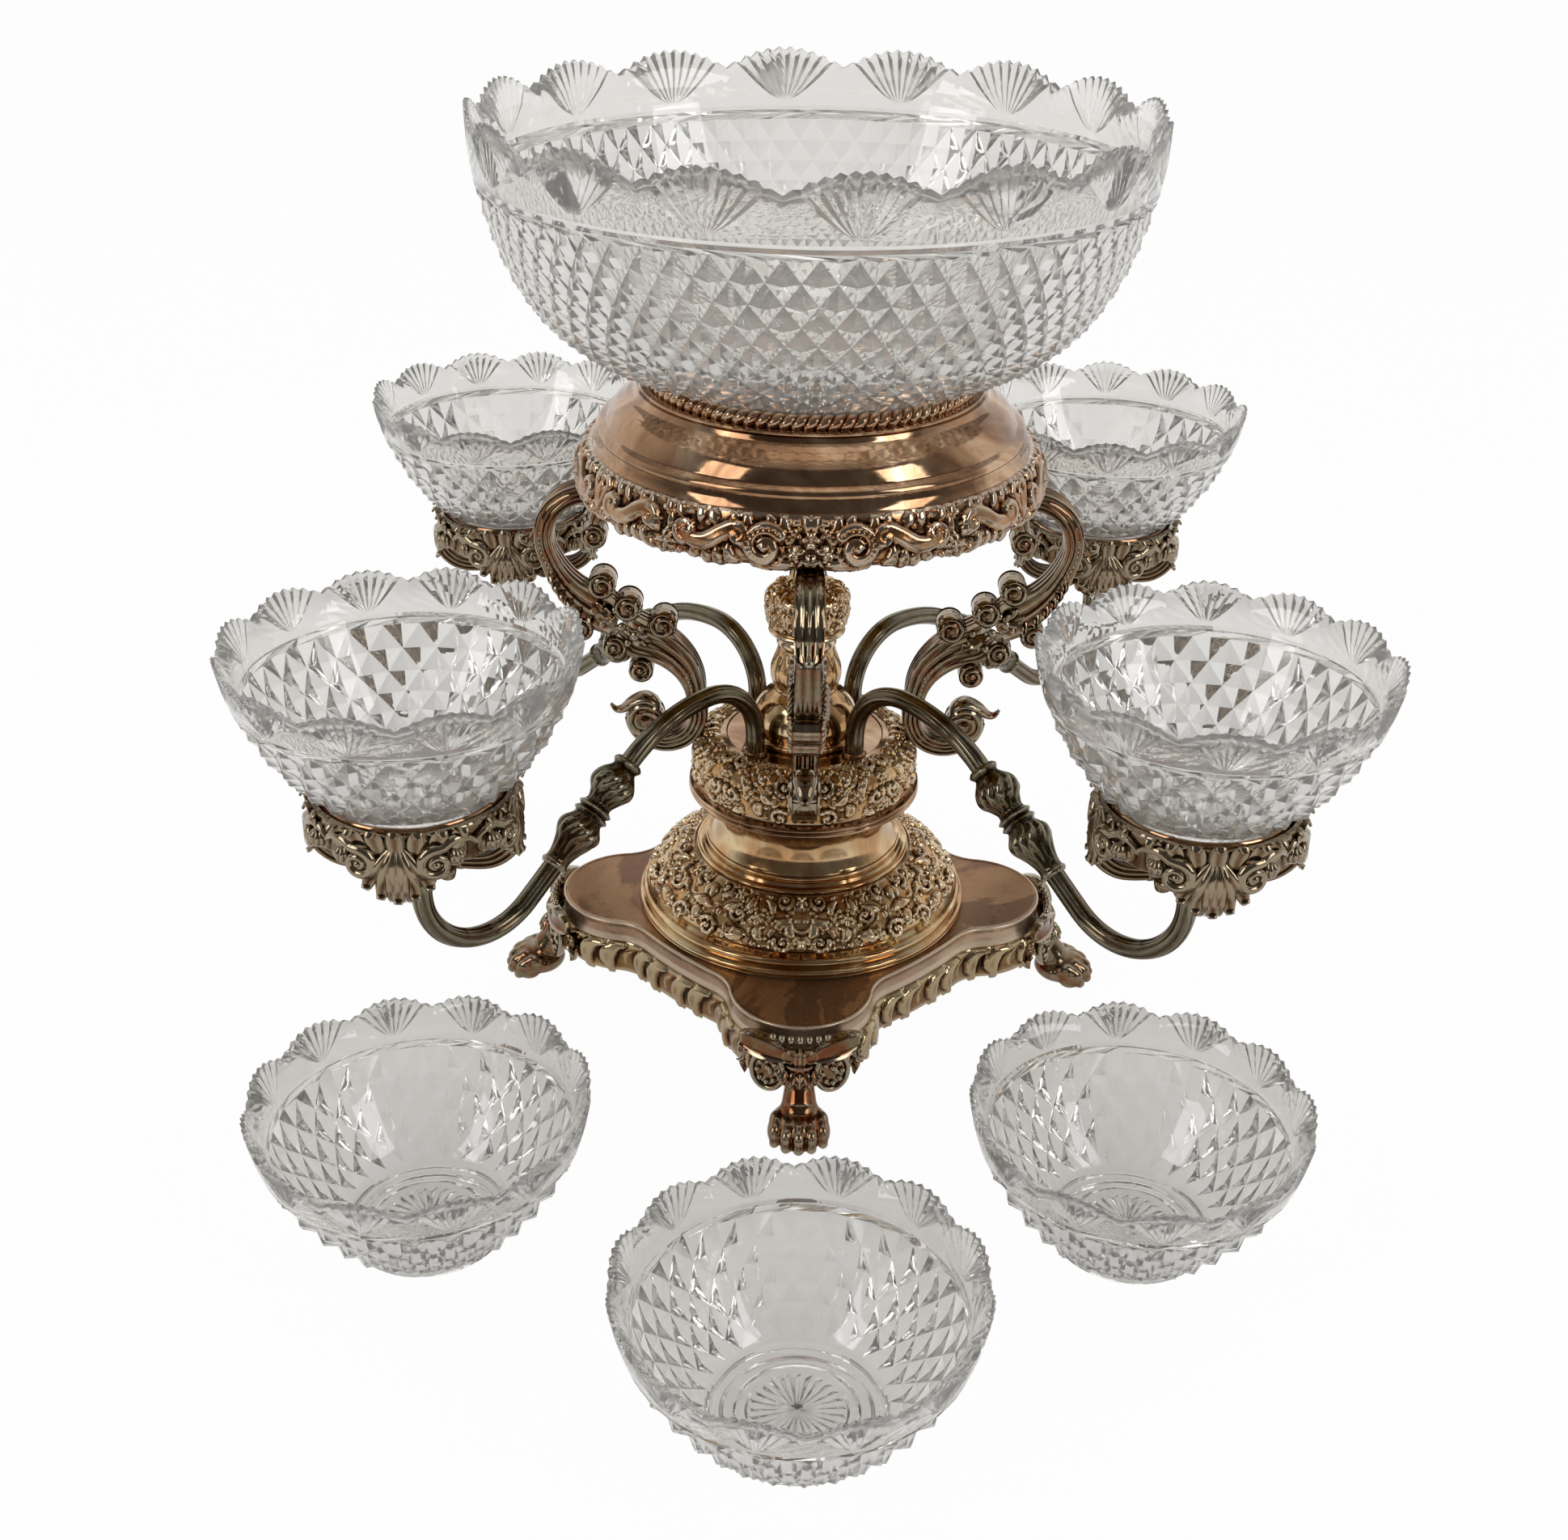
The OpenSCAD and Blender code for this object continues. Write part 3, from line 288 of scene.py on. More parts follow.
# Copies a shape to every marked place, joins it to the piece and gives it the finish.
def buildRepeatTree():
    tree = bpy.data.node_groups.new("repeatShape", "GeometryNodeTree")
    sockets = {}
    for label, kind in (("Geometry", "Geometry"), ("Places", "Object"), ("Shape", "Object"),
                        ("Finish", "Material")):
        sockets[label] = tree.interface.new_socket(label, in_out="INPUT",
                                                   socket_type="NodeSocket" + kind).identifier
    tree.interface.new_socket("Geometry", in_out="OUTPUT", socket_type="NodeSocketGeometry")
    given = addNode(tree, "NodeGroupInput")
    places = addNode(tree, "GeometryNodeObjectInfo", inputs={"Object": given.outputs["Places"]})
    shape = addNode(tree, "GeometryNodeObjectInfo", inputs={"Object": given.outputs["Shape"]})
    turn = addNode(tree, "GeometryNodeInputNamedAttribute", {"data_type": "FLOAT_VECTOR"}, {"Name": "turn"})
    grow = addNode(tree, "GeometryNodeInputNamedAttribute", {"data_type": "FLOAT_VECTOR"}, {"Name": "grow"})
    rotation = addNode(tree, "FunctionNodeEulerToRotation", inputs={0: turn.outputs[0]})
    copies = addNode(tree, "GeometryNodeInstanceOnPoints", inputs={
        "Points": places.outputs["Geometry"], "Instance": shape.outputs["Geometry"],
        "Rotation": rotation.outputs[0], "Scale": grow.outputs[0]})
    both = addNode(tree, "GeometryNodeJoinGeometry", inputs={0: copies.outputs[0]})
    tree.links.new(given.outputs["Geometry"], both.inputs[0])
    real = addNode(tree, "GeometryNodeRealizeInstances", inputs={0: both.outputs[0]})
    finish = addNode(tree, "GeometryNodeSetMaterial", inputs={0: real.outputs[0],
                                                             "Material": given.outputs["Finish"]})
    addNode(tree, "NodeGroupOutput", inputs={0: finish.outputs[0]})
    return tree, sockets


repeatTree, repeatSockets = buildRepeatTree()


def meshFrom(name, shells):
    points, faces = joinShells(shells)
    mesh = bpy.data.meshes.new(name)
    mesh.from_pydata((points * mm).tolist(), [], [f for array in faces for f in array.tolist()])
    mesh.update()
    return mesh


def placesObject(name, places):
    mesh = bpy.data.meshes.new(name)
    mesh.from_pydata([[v * mm for v in place[0]] for place in places], [], [])
    for label, k in (("turn", 1), ("grow", 2)):
        layer = mesh.attributes.new(label, "FLOAT_VECTOR", "POINT")
        layer.data.foreach_set("vector", np.asarray([place[k] for place in places], float).ravel())
    return bpy.data.objects.new(name, mesh)


def eulerOf(rows):
    return tuple(Matrix(np.asarray(rows, float).tolist()).to_euler("XYZ"))


def matrixOf(angles):
    return [list(row) for row in (Matrix.Rotation(angles[2], 3, "Z") @ Matrix.Rotation(angles[1], 3, "Y")
                                  @ Matrix.Rotation(angles[0], 3, "X"))]


def turnedPlaces(places, degrees):
    turn = aboutZ(degrees)
    return [(turn @ np.asarray(spot, float), eulerOf(turn @ np.array(matrixOf(angles))), size)
            for spot, angles, size in places]


# Height of each point above the smoothed surface: rubbed wear and painted highlight go on ridges, tarnish and painted
# shade in hollows.
def heightsForWearAndPaintedLight(mesh, rounds, depth):
    count = len(mesh.vertices)
    points, normals = np.empty(count * 3), np.empty(count * 3)
    ends = np.empty(len(mesh.edges) * 2, int)
    mesh.vertices.foreach_get("co", points)
    mesh.vertex_normals.foreach_get("vector", normals)
    mesh.edges.foreach_get("vertices", ends)
    points, normals, ends = points.reshape(-1, 3) / mm, normals.reshape(-1, 3), ends.reshape(-1, 2)
    both = np.concatenate([ends, ends[:, ::-1]])
    degree = np.maximum(np.bincount(both[:, 0], minlength=count), 1)
    flat = points.copy()
    for _ in range(rounds):
        near = np.stack([np.bincount(both[:, 0], flat[both[:, 1], k], count) for k in range(3)], -1)
        flat = 0.4 * flat + 0.6 * near / degree[:, None]
    return np.clip(0.5 + ((points - flat) * normals).sum(1) / (2 * depth), 0, 1)


def faceOutward(mesh):
    sculpt = bmesh.new()
    sculpt.from_mesh(mesh)
    bmesh.ops.recalc_face_normals(sculpt, faces=sculpt.faces[:])
    sculpt.to_mesh(mesh)
    sculpt.free()


def settle(piece, name, body):
    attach(piece, body)
    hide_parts(name)


def makePiece(name, body, finish, shells, repeats=(), sharp=38, worn=(7, 0.35), turn=0):
    mesh = meshFrom(name, turnedShells(shells, turn))
    piece = bpy.data.objects.new(name, mesh)
    scene.collection.objects.link(piece)
    helpers = []
    for shape, places in repeats:
        shapeObject = bpy.data.objects.new(name + "Shape", meshFrom(name + "Shape", [shape]))
        placeObject = placesObject(name + "Places", turnedPlaces(places, turn))
        modifier = piece.modifiers.new("repeat", "NODES")
        modifier.node_group = repeatTree
        for label, value in (("Places", placeObject), ("Shape", shapeObject), ("Finish", finish)):
            modifier[repeatSockets[label]] = value
        for helper in (shapeObject, placeObject):
            scene.collection.objects.link(helper)
            helpers.append(helper)
    if repeats:
        graph = bpy.context.evaluated_depsgraph_get()
        mesh = bpy.data.meshes.new_from_object(piece.evaluated_get(graph), depsgraph=graph)
        piece.modifiers.clear()
        piece.data = mesh
        for helper in helpers:
            bpy.data.objects.remove(helper)
    faceOutward(mesh)
    # The relief height places rubbed wear with painted highlight on ridges and tarnish with painted shade in hollows.
    layer = mesh.attributes.new("relief", "FLOAT", "POINT")
    layer.data.foreach_set("value", heightsForWearAndPaintedLight(mesh, *worn))
    mesh.shade_smooth()
    mesh.set_sharp_from_angle(angle=math.radians(sharp))
    mesh.materials.clear()
    mesh.materials.append(finish)
    settle(piece, name, body)


def newMaterial(name):
    material = bpy.data.materials.new(name)
    material.use_nodes = True
    material.node_tree.nodes.clear()
    return material, material.node_tree


def ranged(tree, value, low, high, first=0.0, last=1.0, kind="LINEAR"):
    return addNode(tree, "ShaderNodeMapRange", {"interpolation_type": kind},
                   {0: value, 1: low, 2: high, 3: first, 4: last}).outputs[0]


def reckoned(tree, operation, *values):
    return addNode(tree, "ShaderNodeMath", {"operation": operation}, dict(enumerate(values))).outputs[0]


def eitherValue(tree, share, first, second):
    return addNode(tree, "ShaderNodeMix", {"data_type": "FLOAT"}, {0: share, 2: first, 3: second}).outputs[0]


# Marks that every plate shares: fine smears, ridges paler from rubbed wear and painted highlight, hollows darker from
# tarnish and painted shade, and a slight unevenness.
wearAndPaintedLight = {"smear": 0.004, "waver": 0.09, "upward": (0.7, 0.95), "hollow": (0.43, 0.12), "ridge": (0.54, 0.86, 0.0, 0.72),
        "bump": 0.08, "bumpDepth": 0.0002}


def plateFinish(name, patina, roughness, patch, hollow=None, ridge=None, flank=None, metal=1.0):
    material, tree = newMaterial(name)
    place = addNode(tree, "ShaderNodeTexCoord").outputs["Object"]
    cloud = addNode(tree, "ShaderNodeTexNoise", inputs={
        "Vector": place, "Scale": 1 / patch, "Detail": 5.0, "Roughness": 0.55, "Distortion": 1.2}).outputs[0]
    smear = addNode(tree, "ShaderNodeTexNoise", inputs={
        "Vector": place, "Scale": 1 / wearAndPaintedLight["smear"], "Detail": 3.0, "Roughness": 0.6}).outputs[0]

    def tinted(stops):
        node = addNode(tree, "ShaderNodeValToRGB", inputs={0: cloud})
        setRamp(node, stops)
        return node.outputs[0]

    def blended(share, first, second):
        return addNode(tree, "ShaderNodeMix", {"data_type": "RGBA"}, {0: share, 6: first, 7: second}).outputs[2]

    colour = tinted(patina)
    if flank:
        facing = addNode(tree, "ShaderNodeSeparateXYZ", inputs={
            0: addNode(tree, "ShaderNodeNewGeometry").outputs["Normal"]})
        colour = blended(ranged(tree, facing.outputs[2], *wearAndPaintedLight["upward"]), tinted(flank), colour)
    if ridge:
        relief = addNode(tree, "ShaderNodeAttribute", {"attribute_name": "relief"}).outputs["Fac"]
        level = reckoned(tree, "ADD", relief, ranged(tree, smear, 0.2, 0.8, -wearAndPaintedLight["waver"], wearAndPaintedLight["waver"]))
        # Hollows take tarnish and painted shade; ridges take rubbed wear and painted highlight.
        if hollow:
            colour = blended(ranged(tree, level, *wearAndPaintedLight["hollow"]), colour, hexColour(hollow))
        colour = blended(ranged(tree, level, *wearAndPaintedLight["ridge"]), colour, hexColour(ridge))
    bump = addNode(tree, "ShaderNodeBump", inputs={
        "Strength": wearAndPaintedLight["bump"], "Distance": wearAndPaintedLight["bumpDepth"], "Height": smear})
    shader = addNode(tree, "ShaderNodeBsdfPrincipled", inputs={
        "Base Color": colour, "Metallic": metal, "Roughness": ranged(tree, smear, 0.3, 0.7, *roughness),
        "Normal": bump.outputs[0]})
    addNode(tree, "ShaderNodeOutputMaterial", inputs={0: shader.outputs[0]})
    return material


# Silver plate spun and polished, thin from wear: pinkish mirror with brown clouds.
spunPlate = plateFinish("spun_silver_plate_worn", [(0.34, "#765640"), (0.5, "#9e7b5c"), (0.68, "#ccae90")],
                        (0.06, 0.13), 0.036)
# Gilded spun plate of the base and the bell: yellow mirror, browner where handled.
goldPlate = plateFinish("spun_plate_gilded", [(0.34, "#a87a50"), (0.5, "#c29f74"), (0.68, "#dcc7a0")],
                        (0.08, 0.18), 0.03)
# Stamped plinth sheet: brown copper with sharp-edged stains on top, paler silver down its sides; its raised rim is
# paled by rubbed wear and painted highlight.
stampedPlate = plateFinish("stamped_plate_stained",
                           [(0.4, "#7c573d"), (0.445, "#a17853"), (0.54, "#ab845d"), (0.555, "#836043")],
                           (0.24, 0.36), 0.075, None, "#d2bfa8",
                           [(0.36, "#94755e"), (0.5, "#ab8e74"), (0.66, "#c2a98f")], metal=0.72)
# Cast and chased plate: pale ridges from rubbed wear and painted highlight, over brown hollows from tarnish and painted
# shade.
castPlate = plateFinish("cast_silver_plate_chased", [(0.36, "#895634"), (0.5, "#a0764f"), (0.66, "#ab8d6e")],
                        (0.1, 0.2), 0.022, "#38251a", "#b9ad9d")
# Gilded castings of the base: golden ground with paler leaves from rubbed wear and painted highlight, and hollows
# darkened by tarnish and painted shade.
giltPlate = plateFinish("cast_plate_gilded", [(0.36, "#a87a4a"), (0.5, "#c09868"), (0.66, "#d0b488")],
                        (0.14, 0.26), 0.02, "#684d31", "#d8cbb4")
# Cast plate of brackets and feet: dark copper channels with olive-grey edges; the channels are darkened by tarnish and
# painted shade, the edges paled by rubbed wear and painted highlight.
scrollPlate = plateFinish("cast_plate_coppery", [(0.38, "#74462c"), (0.5, "#785c42"), (0.62, "#7c7058")],
                          (0.06, 0.14), 0.014, "#2e1f15", "#aaa08c")
# Cast plate of the plinth border: dark gold leaves with edges paled by rubbed wear and painted highlight, over brown
# shadows painted in the hollows.
borderPlate = plateFinish("cast_plate_dark_gold", [(0.36, "#7a5030"), (0.5, "#8a6843"), (0.66, "#947c58")],
                          (0.08, 0.18), 0.016, "#2f2016", "#b9a888")
# Cast plate of the holders: bronze with brown shadows painted between the leaves and painted highlight on their rubbed
# tops.
leafPlate = plateFinish("cast_plate_bronzed", [(0.36, "#644932"), (0.5, "#6f5740"), (0.66, "#7b6a54")],
                        (0.09, 0.19), 0.018, "#2a1e16", "#9d907a")
# Drawn tube with grey-green tarnish: darker, cooler metal of the branches, with painted shade in its grooves and
# painted highlight on its reeds.
dullPlate = plateFinish("drawn_plate_tarnished", [(0.36, "#57432f"), (0.5, "#5a523f"), (0.66, "#6b634f")],
                        (0.1, 0.2), 0.02, "#2a241b", "#8e8673")
# Turned brass of the hidden rod and nuts: plain yellow metal.
plainBrass = plateFinish("turned_brass_plain", [(0.3, "#a58047"), (0.7, "#b9965a")], (0.25, 0.35), 0.01)


# Lead glass, cut and polished by hand: clear and grey, with slightly milky facets.
def glassFinish():
    material, tree = newMaterial("lead_glass_cut")
    shader = addNode(tree, "ShaderNodeBsdfPrincipled", inputs={
        "Base Color": hexColour("#f4f2ee"), "Transmission Weight": 0.88, "Roughness": 0.02, "IOR": 1.52})
    addNode(tree, "ShaderNodeOutputMaterial", inputs={0: shader.outputs[0]})
    return material


cutGlass = glassFinish()
print("finishes made")


# Bowls: diamonds below, a ring groove, then fans that end in a toothed rim.
def zipFaces(low, high):
    faces, i, j, n, m = [], 0, 0, len(low), len(high)
    while i < n or j < m:
        if j >= m or (i < n and (i + 1) / n <= (j + 1) / m):
            faces.append((low[i % n], low[(i + 1) % n], high[j % m]))
            i += 1
        else:
            faces.append((low[i % n], high[(j + 1) % m], high[j % m]))
            j += 1
    return np.array(faces)


# Shares that every bowl follows: groove depth in the wall, opening of the fans, thickness of the rim.
cutting = {"depth": 0.66, "firstRow": 0.55, "fanFoot": 0.1, "fanSpread": 0.76, "fanOpen": 0.8, "rim": 0.32}


def bowlShells(bowl):
    high, foot, wall = bowl["high"], bowl["foot"], bowl["wall"]
    lobes, fanRays, gap = bowl["lobes"], bowl["rays"], bowl["gap"]
    line = evenly(throughPoints(bowl["line"], 24), 400)
    run = runAlong(line)
    normal = profileNormals(line, False)
    points, faces, total = [], [], 0

    def at(s):
        return np.array([np.interp(s, run, column) for column in (*line.T, *normal.T)])

    def runAt(height):
        return np.interp(height, line[:, 1], run)

    def addLoop(radius, height, angle):
        nonlocal total
        loop = polar(radius, angle, height)
        points.append(loop)
        total += len(loop)
        return np.arange(total - len(loop), total)

    def addBand(low, radius, height, angle):
        loop = addLoop(radius, height, angle)
        if len(low) == len(loop):
            faces.append(np.stack([low, np.roll(low, -1), np.roll(loop, -1), loop], -1))
        else:
            faces.append(zipFaces(low, loop))
        return loop

    def addTip(low, height):
        tip = addLoop(0, height, np.zeros(1))[0]
        faces.append(np.stack([low, np.roll(low, -1), np.full(len(low), tip)], -1))

    # Diamonds: half-pitch rows of groove crossings and points, split along the grooves.
    columns = 2 * bowl["diamonds"]
    diamondAngle = around(columns)
    top, bottom = runAt(bowl["grooveLow"] - bowl["endRun"]), runAt(bowl["footHigh"])
    rows, s = [], top
    while s > bottom:
        rows.append(s)
        s -= bowl["aspect"] * math.pi * at(s)[0] / bowl["diamonds"]
    rows = (np.array(rows) - rows[-1]) / (rows[0] - rows[-1]) * (top - bottom) + bottom
    loops = []
    for j, s in enumerate(rows[::-1]):
        r, z, nr, nz = at(s)
        cut = min(bowl["cut"], cutting["depth"] * wall * nr)
        depth = np.where((np.arange(columns) + j) % 2 == 0, cut, 0.0)
        if j == 0:
            depth = np.full(columns, cut * cutting["firstRow"])
        loops.append(addLoop(r - depth * nr, z - depth * nz, diamondAngle))
    for j in range(len(loops) - 1):
        a, b = loops[j], np.roll(loops[j], -1)
        c, d = loops[j + 1], np.roll(loops[j + 1], -1)
        even = ((np.arange(columns) + j) % 2 == 0)[:, None]
        faces.append(np.where(even, np.stack([a, b, d], -1), np.stack([a, b, c], -1)))
        faces.append(np.where(even, np.stack([a, d, c], -1), np.stack([b, d, c], -1)))

    # Fan columns: gap, rays and gap again for each lobe, spread from the fan's root to the rim.
    per = 2 * gap + 2 * fanRays
    k = np.arange(lobes * per)
    place = k % per
    half = math.pi / lobes
    inFan = (place >= gap) & (place <= gap + 2 * fanRays)
    fanAt = np.clip((place - gap) / (2 * fanRays), 0, 1) * 2 - 1
    gapAt = np.where(place < gap, place / gap, (place - gap - 2 * fanRays) / gap)
    centre = (k // per + 0.5) * 2 * half

    def columnAngle(opening):
        edge = half * (cutting["fanFoot"] + cutting["fanSpread"] * opening)
        left = centre - half + gapAt * (half - edge)
        right = centre + edge + gapAt * (half - edge)
        return np.where(inFan, centre + fanAt * edge, np.where(place < gap, left, right)) - half

    rimAngle = columnAngle(1.0)
    topHeight = high - bowl["dip"] * ((rimAngle + half - centre) / half) ** 2
    valley = inFan & ((place - gap) % 2 == 1)
    low = loops[-1]
    for height, depth in ((bowl["grooveLow"] + 0.5, 0.0),
                          ((bowl["grooveLow"] + bowl["grooveHigh"]) / 2, bowl["grooveCut"]),
                          (bowl["grooveHigh"], 0.0)):
        r, z, nr, nz = at(runAt(height))
        low = addBand(low, r - depth * nr, z - depth * nz, columnAngle(0.0))
    steps = bowl["fanRows"]
    for j in range(steps + 1):
        t = j / steps
        height = bowl["fanRoot"] + (topHeight - bowl["fanRoot"]) * t
        hatched = ~inFan & ((place + j) % 2 == 0) & (t > 0.08)
        depth = (np.where(valley, bowl["fanCut"] * t ** 0.6 * (1 - 0.55 * t ** 5), 0.0)
                 + np.where(hatched, bowl["hatch"] * (1 - t * 0.7), 0.0))
        low = addBand(low, at(runAt(height))[0] - depth, height - np.where(valley, bowl["tooth"] * t ** 4, 0.0),
                      columnAngle(t ** cutting["fanOpen"]))
    low = addBand(low, at(runAt(topHeight))[0] - wall * cutting["rim"],
                  topHeight - np.where(valley, bowl["tooth"], 0.0) * 0.9 - 0.3, rimAngle)
    cutFaces = list(faces)

    # Inside: smooth, thinned from the outer line, down to a flat floor.
    faces.clear()
    floor = bowl["floor"]
    for z in np.linspace(high - bowl["dip"] - 3, floor + 2.2, bowl["insideRows"]):
        r = np.interp(z, line[:, 1], line[:, 0]) - wall
        low = addBand(low, r, z, rimAngle)
    edge = r - 2.5
    for r, z in ((edge, floor + 0.4), (edge - 3, floor), (edge * 0.4, floor)):
        low = addBand(low, r, z, rimAngle)
    addTip(low, floor)
    smoothFaces = list(faces)

    # Foot: stepped neck, flat ring and a star cut into the base.
    faces.clear()
    neck = bowl["footHigh"]
    footRows = [(foot + 0.2, neck * 0.72), (foot - 0.5, neck * 0.4), (foot - 0.2, 1.0), (foot - 1.4, 0.0)]
    footRows += [(foot * share, z) for share, z in (
        (0.9, 0.0), (0.88, 1.1), (0.84, 2.0), (0.78, 2.3), (0.73, 2.3), (0.7, 2.9), (0.66, 3.5), (0.6, 3.6),
        (0.57, 2.6))]
    low = loops[0]
    for r, z in footRows:
        low = addBand(low, r, z, diamondAngle)
    star = np.where(np.arange(columns) % 2 == 0, 1.5, 0.0)
    for share, depth in ((0.52, 0.7), (0.1, 1.0)):
        low = addBand(low, foot * share, 1.8 + star * depth, diamondAngle)
    addTip(low, 3.4)
    return np.vstack(points), cutFaces + faces, smoothFaces


def makeBowl(name, body, place, turn, bowl):
    points, cutFaces, smoothFaces = bowlShells(bowl)
    mesh = meshFrom(name, [moved((points, cutFaces + smoothFaces), aboutZ(turn), place)])
    faceOutward(mesh)
    smooth = np.ones(len(mesh.polygons), bool)
    smooth[:sum(len(a) for a in cutFaces)] = False
    mesh.polygons.foreach_set("use_smooth", smooth)
    mesh.materials.append(cutGlass)
    piece = bpy.data.objects.new(name, mesh)
    scene.collection.objects.link(piece)
    settle(piece, name, body)


seatHeight = 285.0
centreBowl = {"high": 108.0, "foot": 61.3, "lobes": 16, "rays": 9, "gap": 3, "diamonds": 64,
              "aspect": 1.36, "cut": 2.7, "endRun": 2.2, "grooveLow": 80.0, "grooveHigh": 83.5, "grooveCut": 1.2,
              "fanRoot": 86.0, "fanRows": 7, "fanCut": 2.2, "hatch": 0.25, "tooth": 1.5, "dip": 8.5,
              "wall": 5.5, "floor": 6.5, "insideRows": 18, "footHigh": 7.4,
              "line": [(61.3, 6.6), (83.4, 12.2), (104, 25.4), (117.5, 43.1), (126.4, 64.4), (131.4, 87.7),
                       (132.4, 108)]}
smallBowl = {"high": 64.0, "foot": 30.5, "lobes": 12, "rays": 7, "gap": 3, "diamonds": 26,
             "aspect": 1.3, "cut": 2.6, "endRun": 1.6, "grooveLow": 44.5, "grooveHigh": 47.0, "grooveCut": 0.9,
             "fanRoot": 48.5, "fanRows": 6, "fanCut": 1.5, "hatch": 0.2, "tooth": 0.9, "dip": 5.5,
             "wall": 4.6, "floor": 5.8, "insideRows": 14, "footHigh": 6.0,
             "line": [(30.5, 5), (38.8, 9.6), (47.8, 20.5), (56, 33.9), (61.9, 50), (64.9, 64)]}
makeBowl("centre_bowl", "centre_glass", (0, 0, seatHeight), 6, centreBowl)
holder = {"reach": 203.0, "low": 133.97, "ledge": 169.47, "ring": 164.47}
for arm, angle in armAngles.items():
    spot = aboutZ(angle) @ np.array([holder["reach"], 0, holder["ledge"]])
    makeBowl("side_bowl_" + arm, "side_glass_" + arm, spot, angle + 8, smallBowl)
looseSpots = {"left": (-143, -181, 20), "front": (0, -277, 17), "right": (128, -178, 150)}
for label, (x, y, turn) in looseSpots.items():
    makeBowl("loose_bowl_" + label, "loose_glass_" + label, (x, y, 0), turn, smallBowl)
print("bowls made")


# Plinth: bulged sides, rounded lobes and hollow curves between them.
plinth = {"side": 77.0, "bulge": 190.0, "lobeAt": 78.0, "lobe": 31.0, "hollow": 20.0, "low": 20.0,
          "top": 44.7, "sheet": 2.0, "inset": -12}


def plinthOutline(offset):
    bulgeAt = plinth["side"] - plinth["bulge"]
    lobeAt = plinth["lobeAt"] / math.sqrt(2)
    reachA, reachB = plinth["bulge"] + plinth["hollow"], plinth["lobe"] + plinth["hollow"]
    span = math.hypot(lobeAt, lobeAt - bulgeAt)
    turn = math.acos((reachA ** 2 + span ** 2 - reachB ** 2) / (2 * reachA * span))
    hollowAngle = math.atan2(lobeAt - bulgeAt, lobeAt) + turn
    hx, hy = reachA * math.cos(hollowAngle), bulgeAt + reachA * math.sin(hollowAngle)
    lobeAngle = math.degrees(math.atan2(hy - lobeAt, hx - lobeAt))
    hollowAngle = math.degrees(hollowAngle)
    quarter = np.vstack([
        arcPoints((lobeAt, lobeAt), plinth["lobe"] + offset, 45, lobeAngle, 28)[:-1],
        arcPoints((hx, hy), plinth["hollow"] - offset, lobeAngle + 180, hollowAngle + 180, 20)[:-1],
        arcPoints((0, bulgeAt), plinth["bulge"] + offset, hollowAngle, 180 - hollowAngle, 24)[:-1],
        arcPoints((-hx, hy), plinth["hollow"] - offset, 360 - hollowAngle, 360 - lobeAngle, 20)[:-1],
        arcPoints((-lobeAt, lobeAt), plinth["lobe"] + offset, 180 - lobeAngle, 135, 28)[:-1]])
    flat = np.column_stack([quarter, np.zeros(len(quarter))])
    return np.vstack([flat @ aboutZ(45 + 90 * k).T for k in range(4)])[:, :2]


def plinthShell():
    top, low, sheet, inset = plinth["top"], plinth["low"], plinth["sheet"], plinth["inset"]
    flat, under = top - 0.3, top - 2.6
    rows = [(inset, flat), (-3.0, flat), (-2.1, flat), (-1.7, top - 0.1), (-1.2, top), (-0.6, top - 0.2),
            (-0.3, top - 0.7), (-0.5, top - 1.3), (-1.2, top - 2.4), (-1.7, top - 4.2), (-1.6, top - 6.0),
            (-1.0, top - 8.0), (-0.2, top - 9.8), (-0.2, low), (-sheet, low), (-sheet, top - 6),
            (-sheet - 3, under)]
    rings = [(inset, k, flat) for k in (0.1, 0.3, 0.5, 0.65, 0.8, 0.9)] + [(d, 1, z) for d, z in rows]
    rings += [(inset, k, under) for k in (0.9, 0.5, 0.1)]
    points = np.stack([np.pad(plinthOutline(d) * k, ((0, 0), (0, 1)), constant_values=z) for d, k, z in rings])
    return cappedTube(points, (0, 0, flat), (0, 0, under))


makePiece("plinth", "stand", stampedPlate, [plinthShell()], sharp=50)

border = {"low": 18.0, "high": 35.0, "proud": 3.5, "pitch": 26.0, "drawn": 18.6, "columns": 1520, "rows": 28}


# One stretch of the border: a fan of ridges, then a crescent, wrapped round a smooth roll.
def borderField(U, V):
    strokes = [([(7.6, 15.4), (4.0, 14.4), (2.2, 11.0), (1.9, 6.8), (3.2, 2.4)], [1.0, 2.5, 2.9, 2.4, 0.9], 2.3),
               ([(14.6, 15.4), (11.0, 14.4), (9.2, 11.0), (8.9, 6.8), (10.2, 2.4)], [1.0, 2.5, 2.9, 2.4, 0.9], 2.3),
               ([(17.0, 13.0), (15.4, 11.4), (14.6, 8.6), (15.0, 5.4)], [0.5, 0.9, 0.9, 0.5], 0.5)]
    field = np.zeros(U.shape)
    for path, width, height in strokes:
        path = throughPoints(path, 6)
        field = np.maximum(field, ribField(U, V, path, spread(width, len(path)), height, 0.3))
    return field


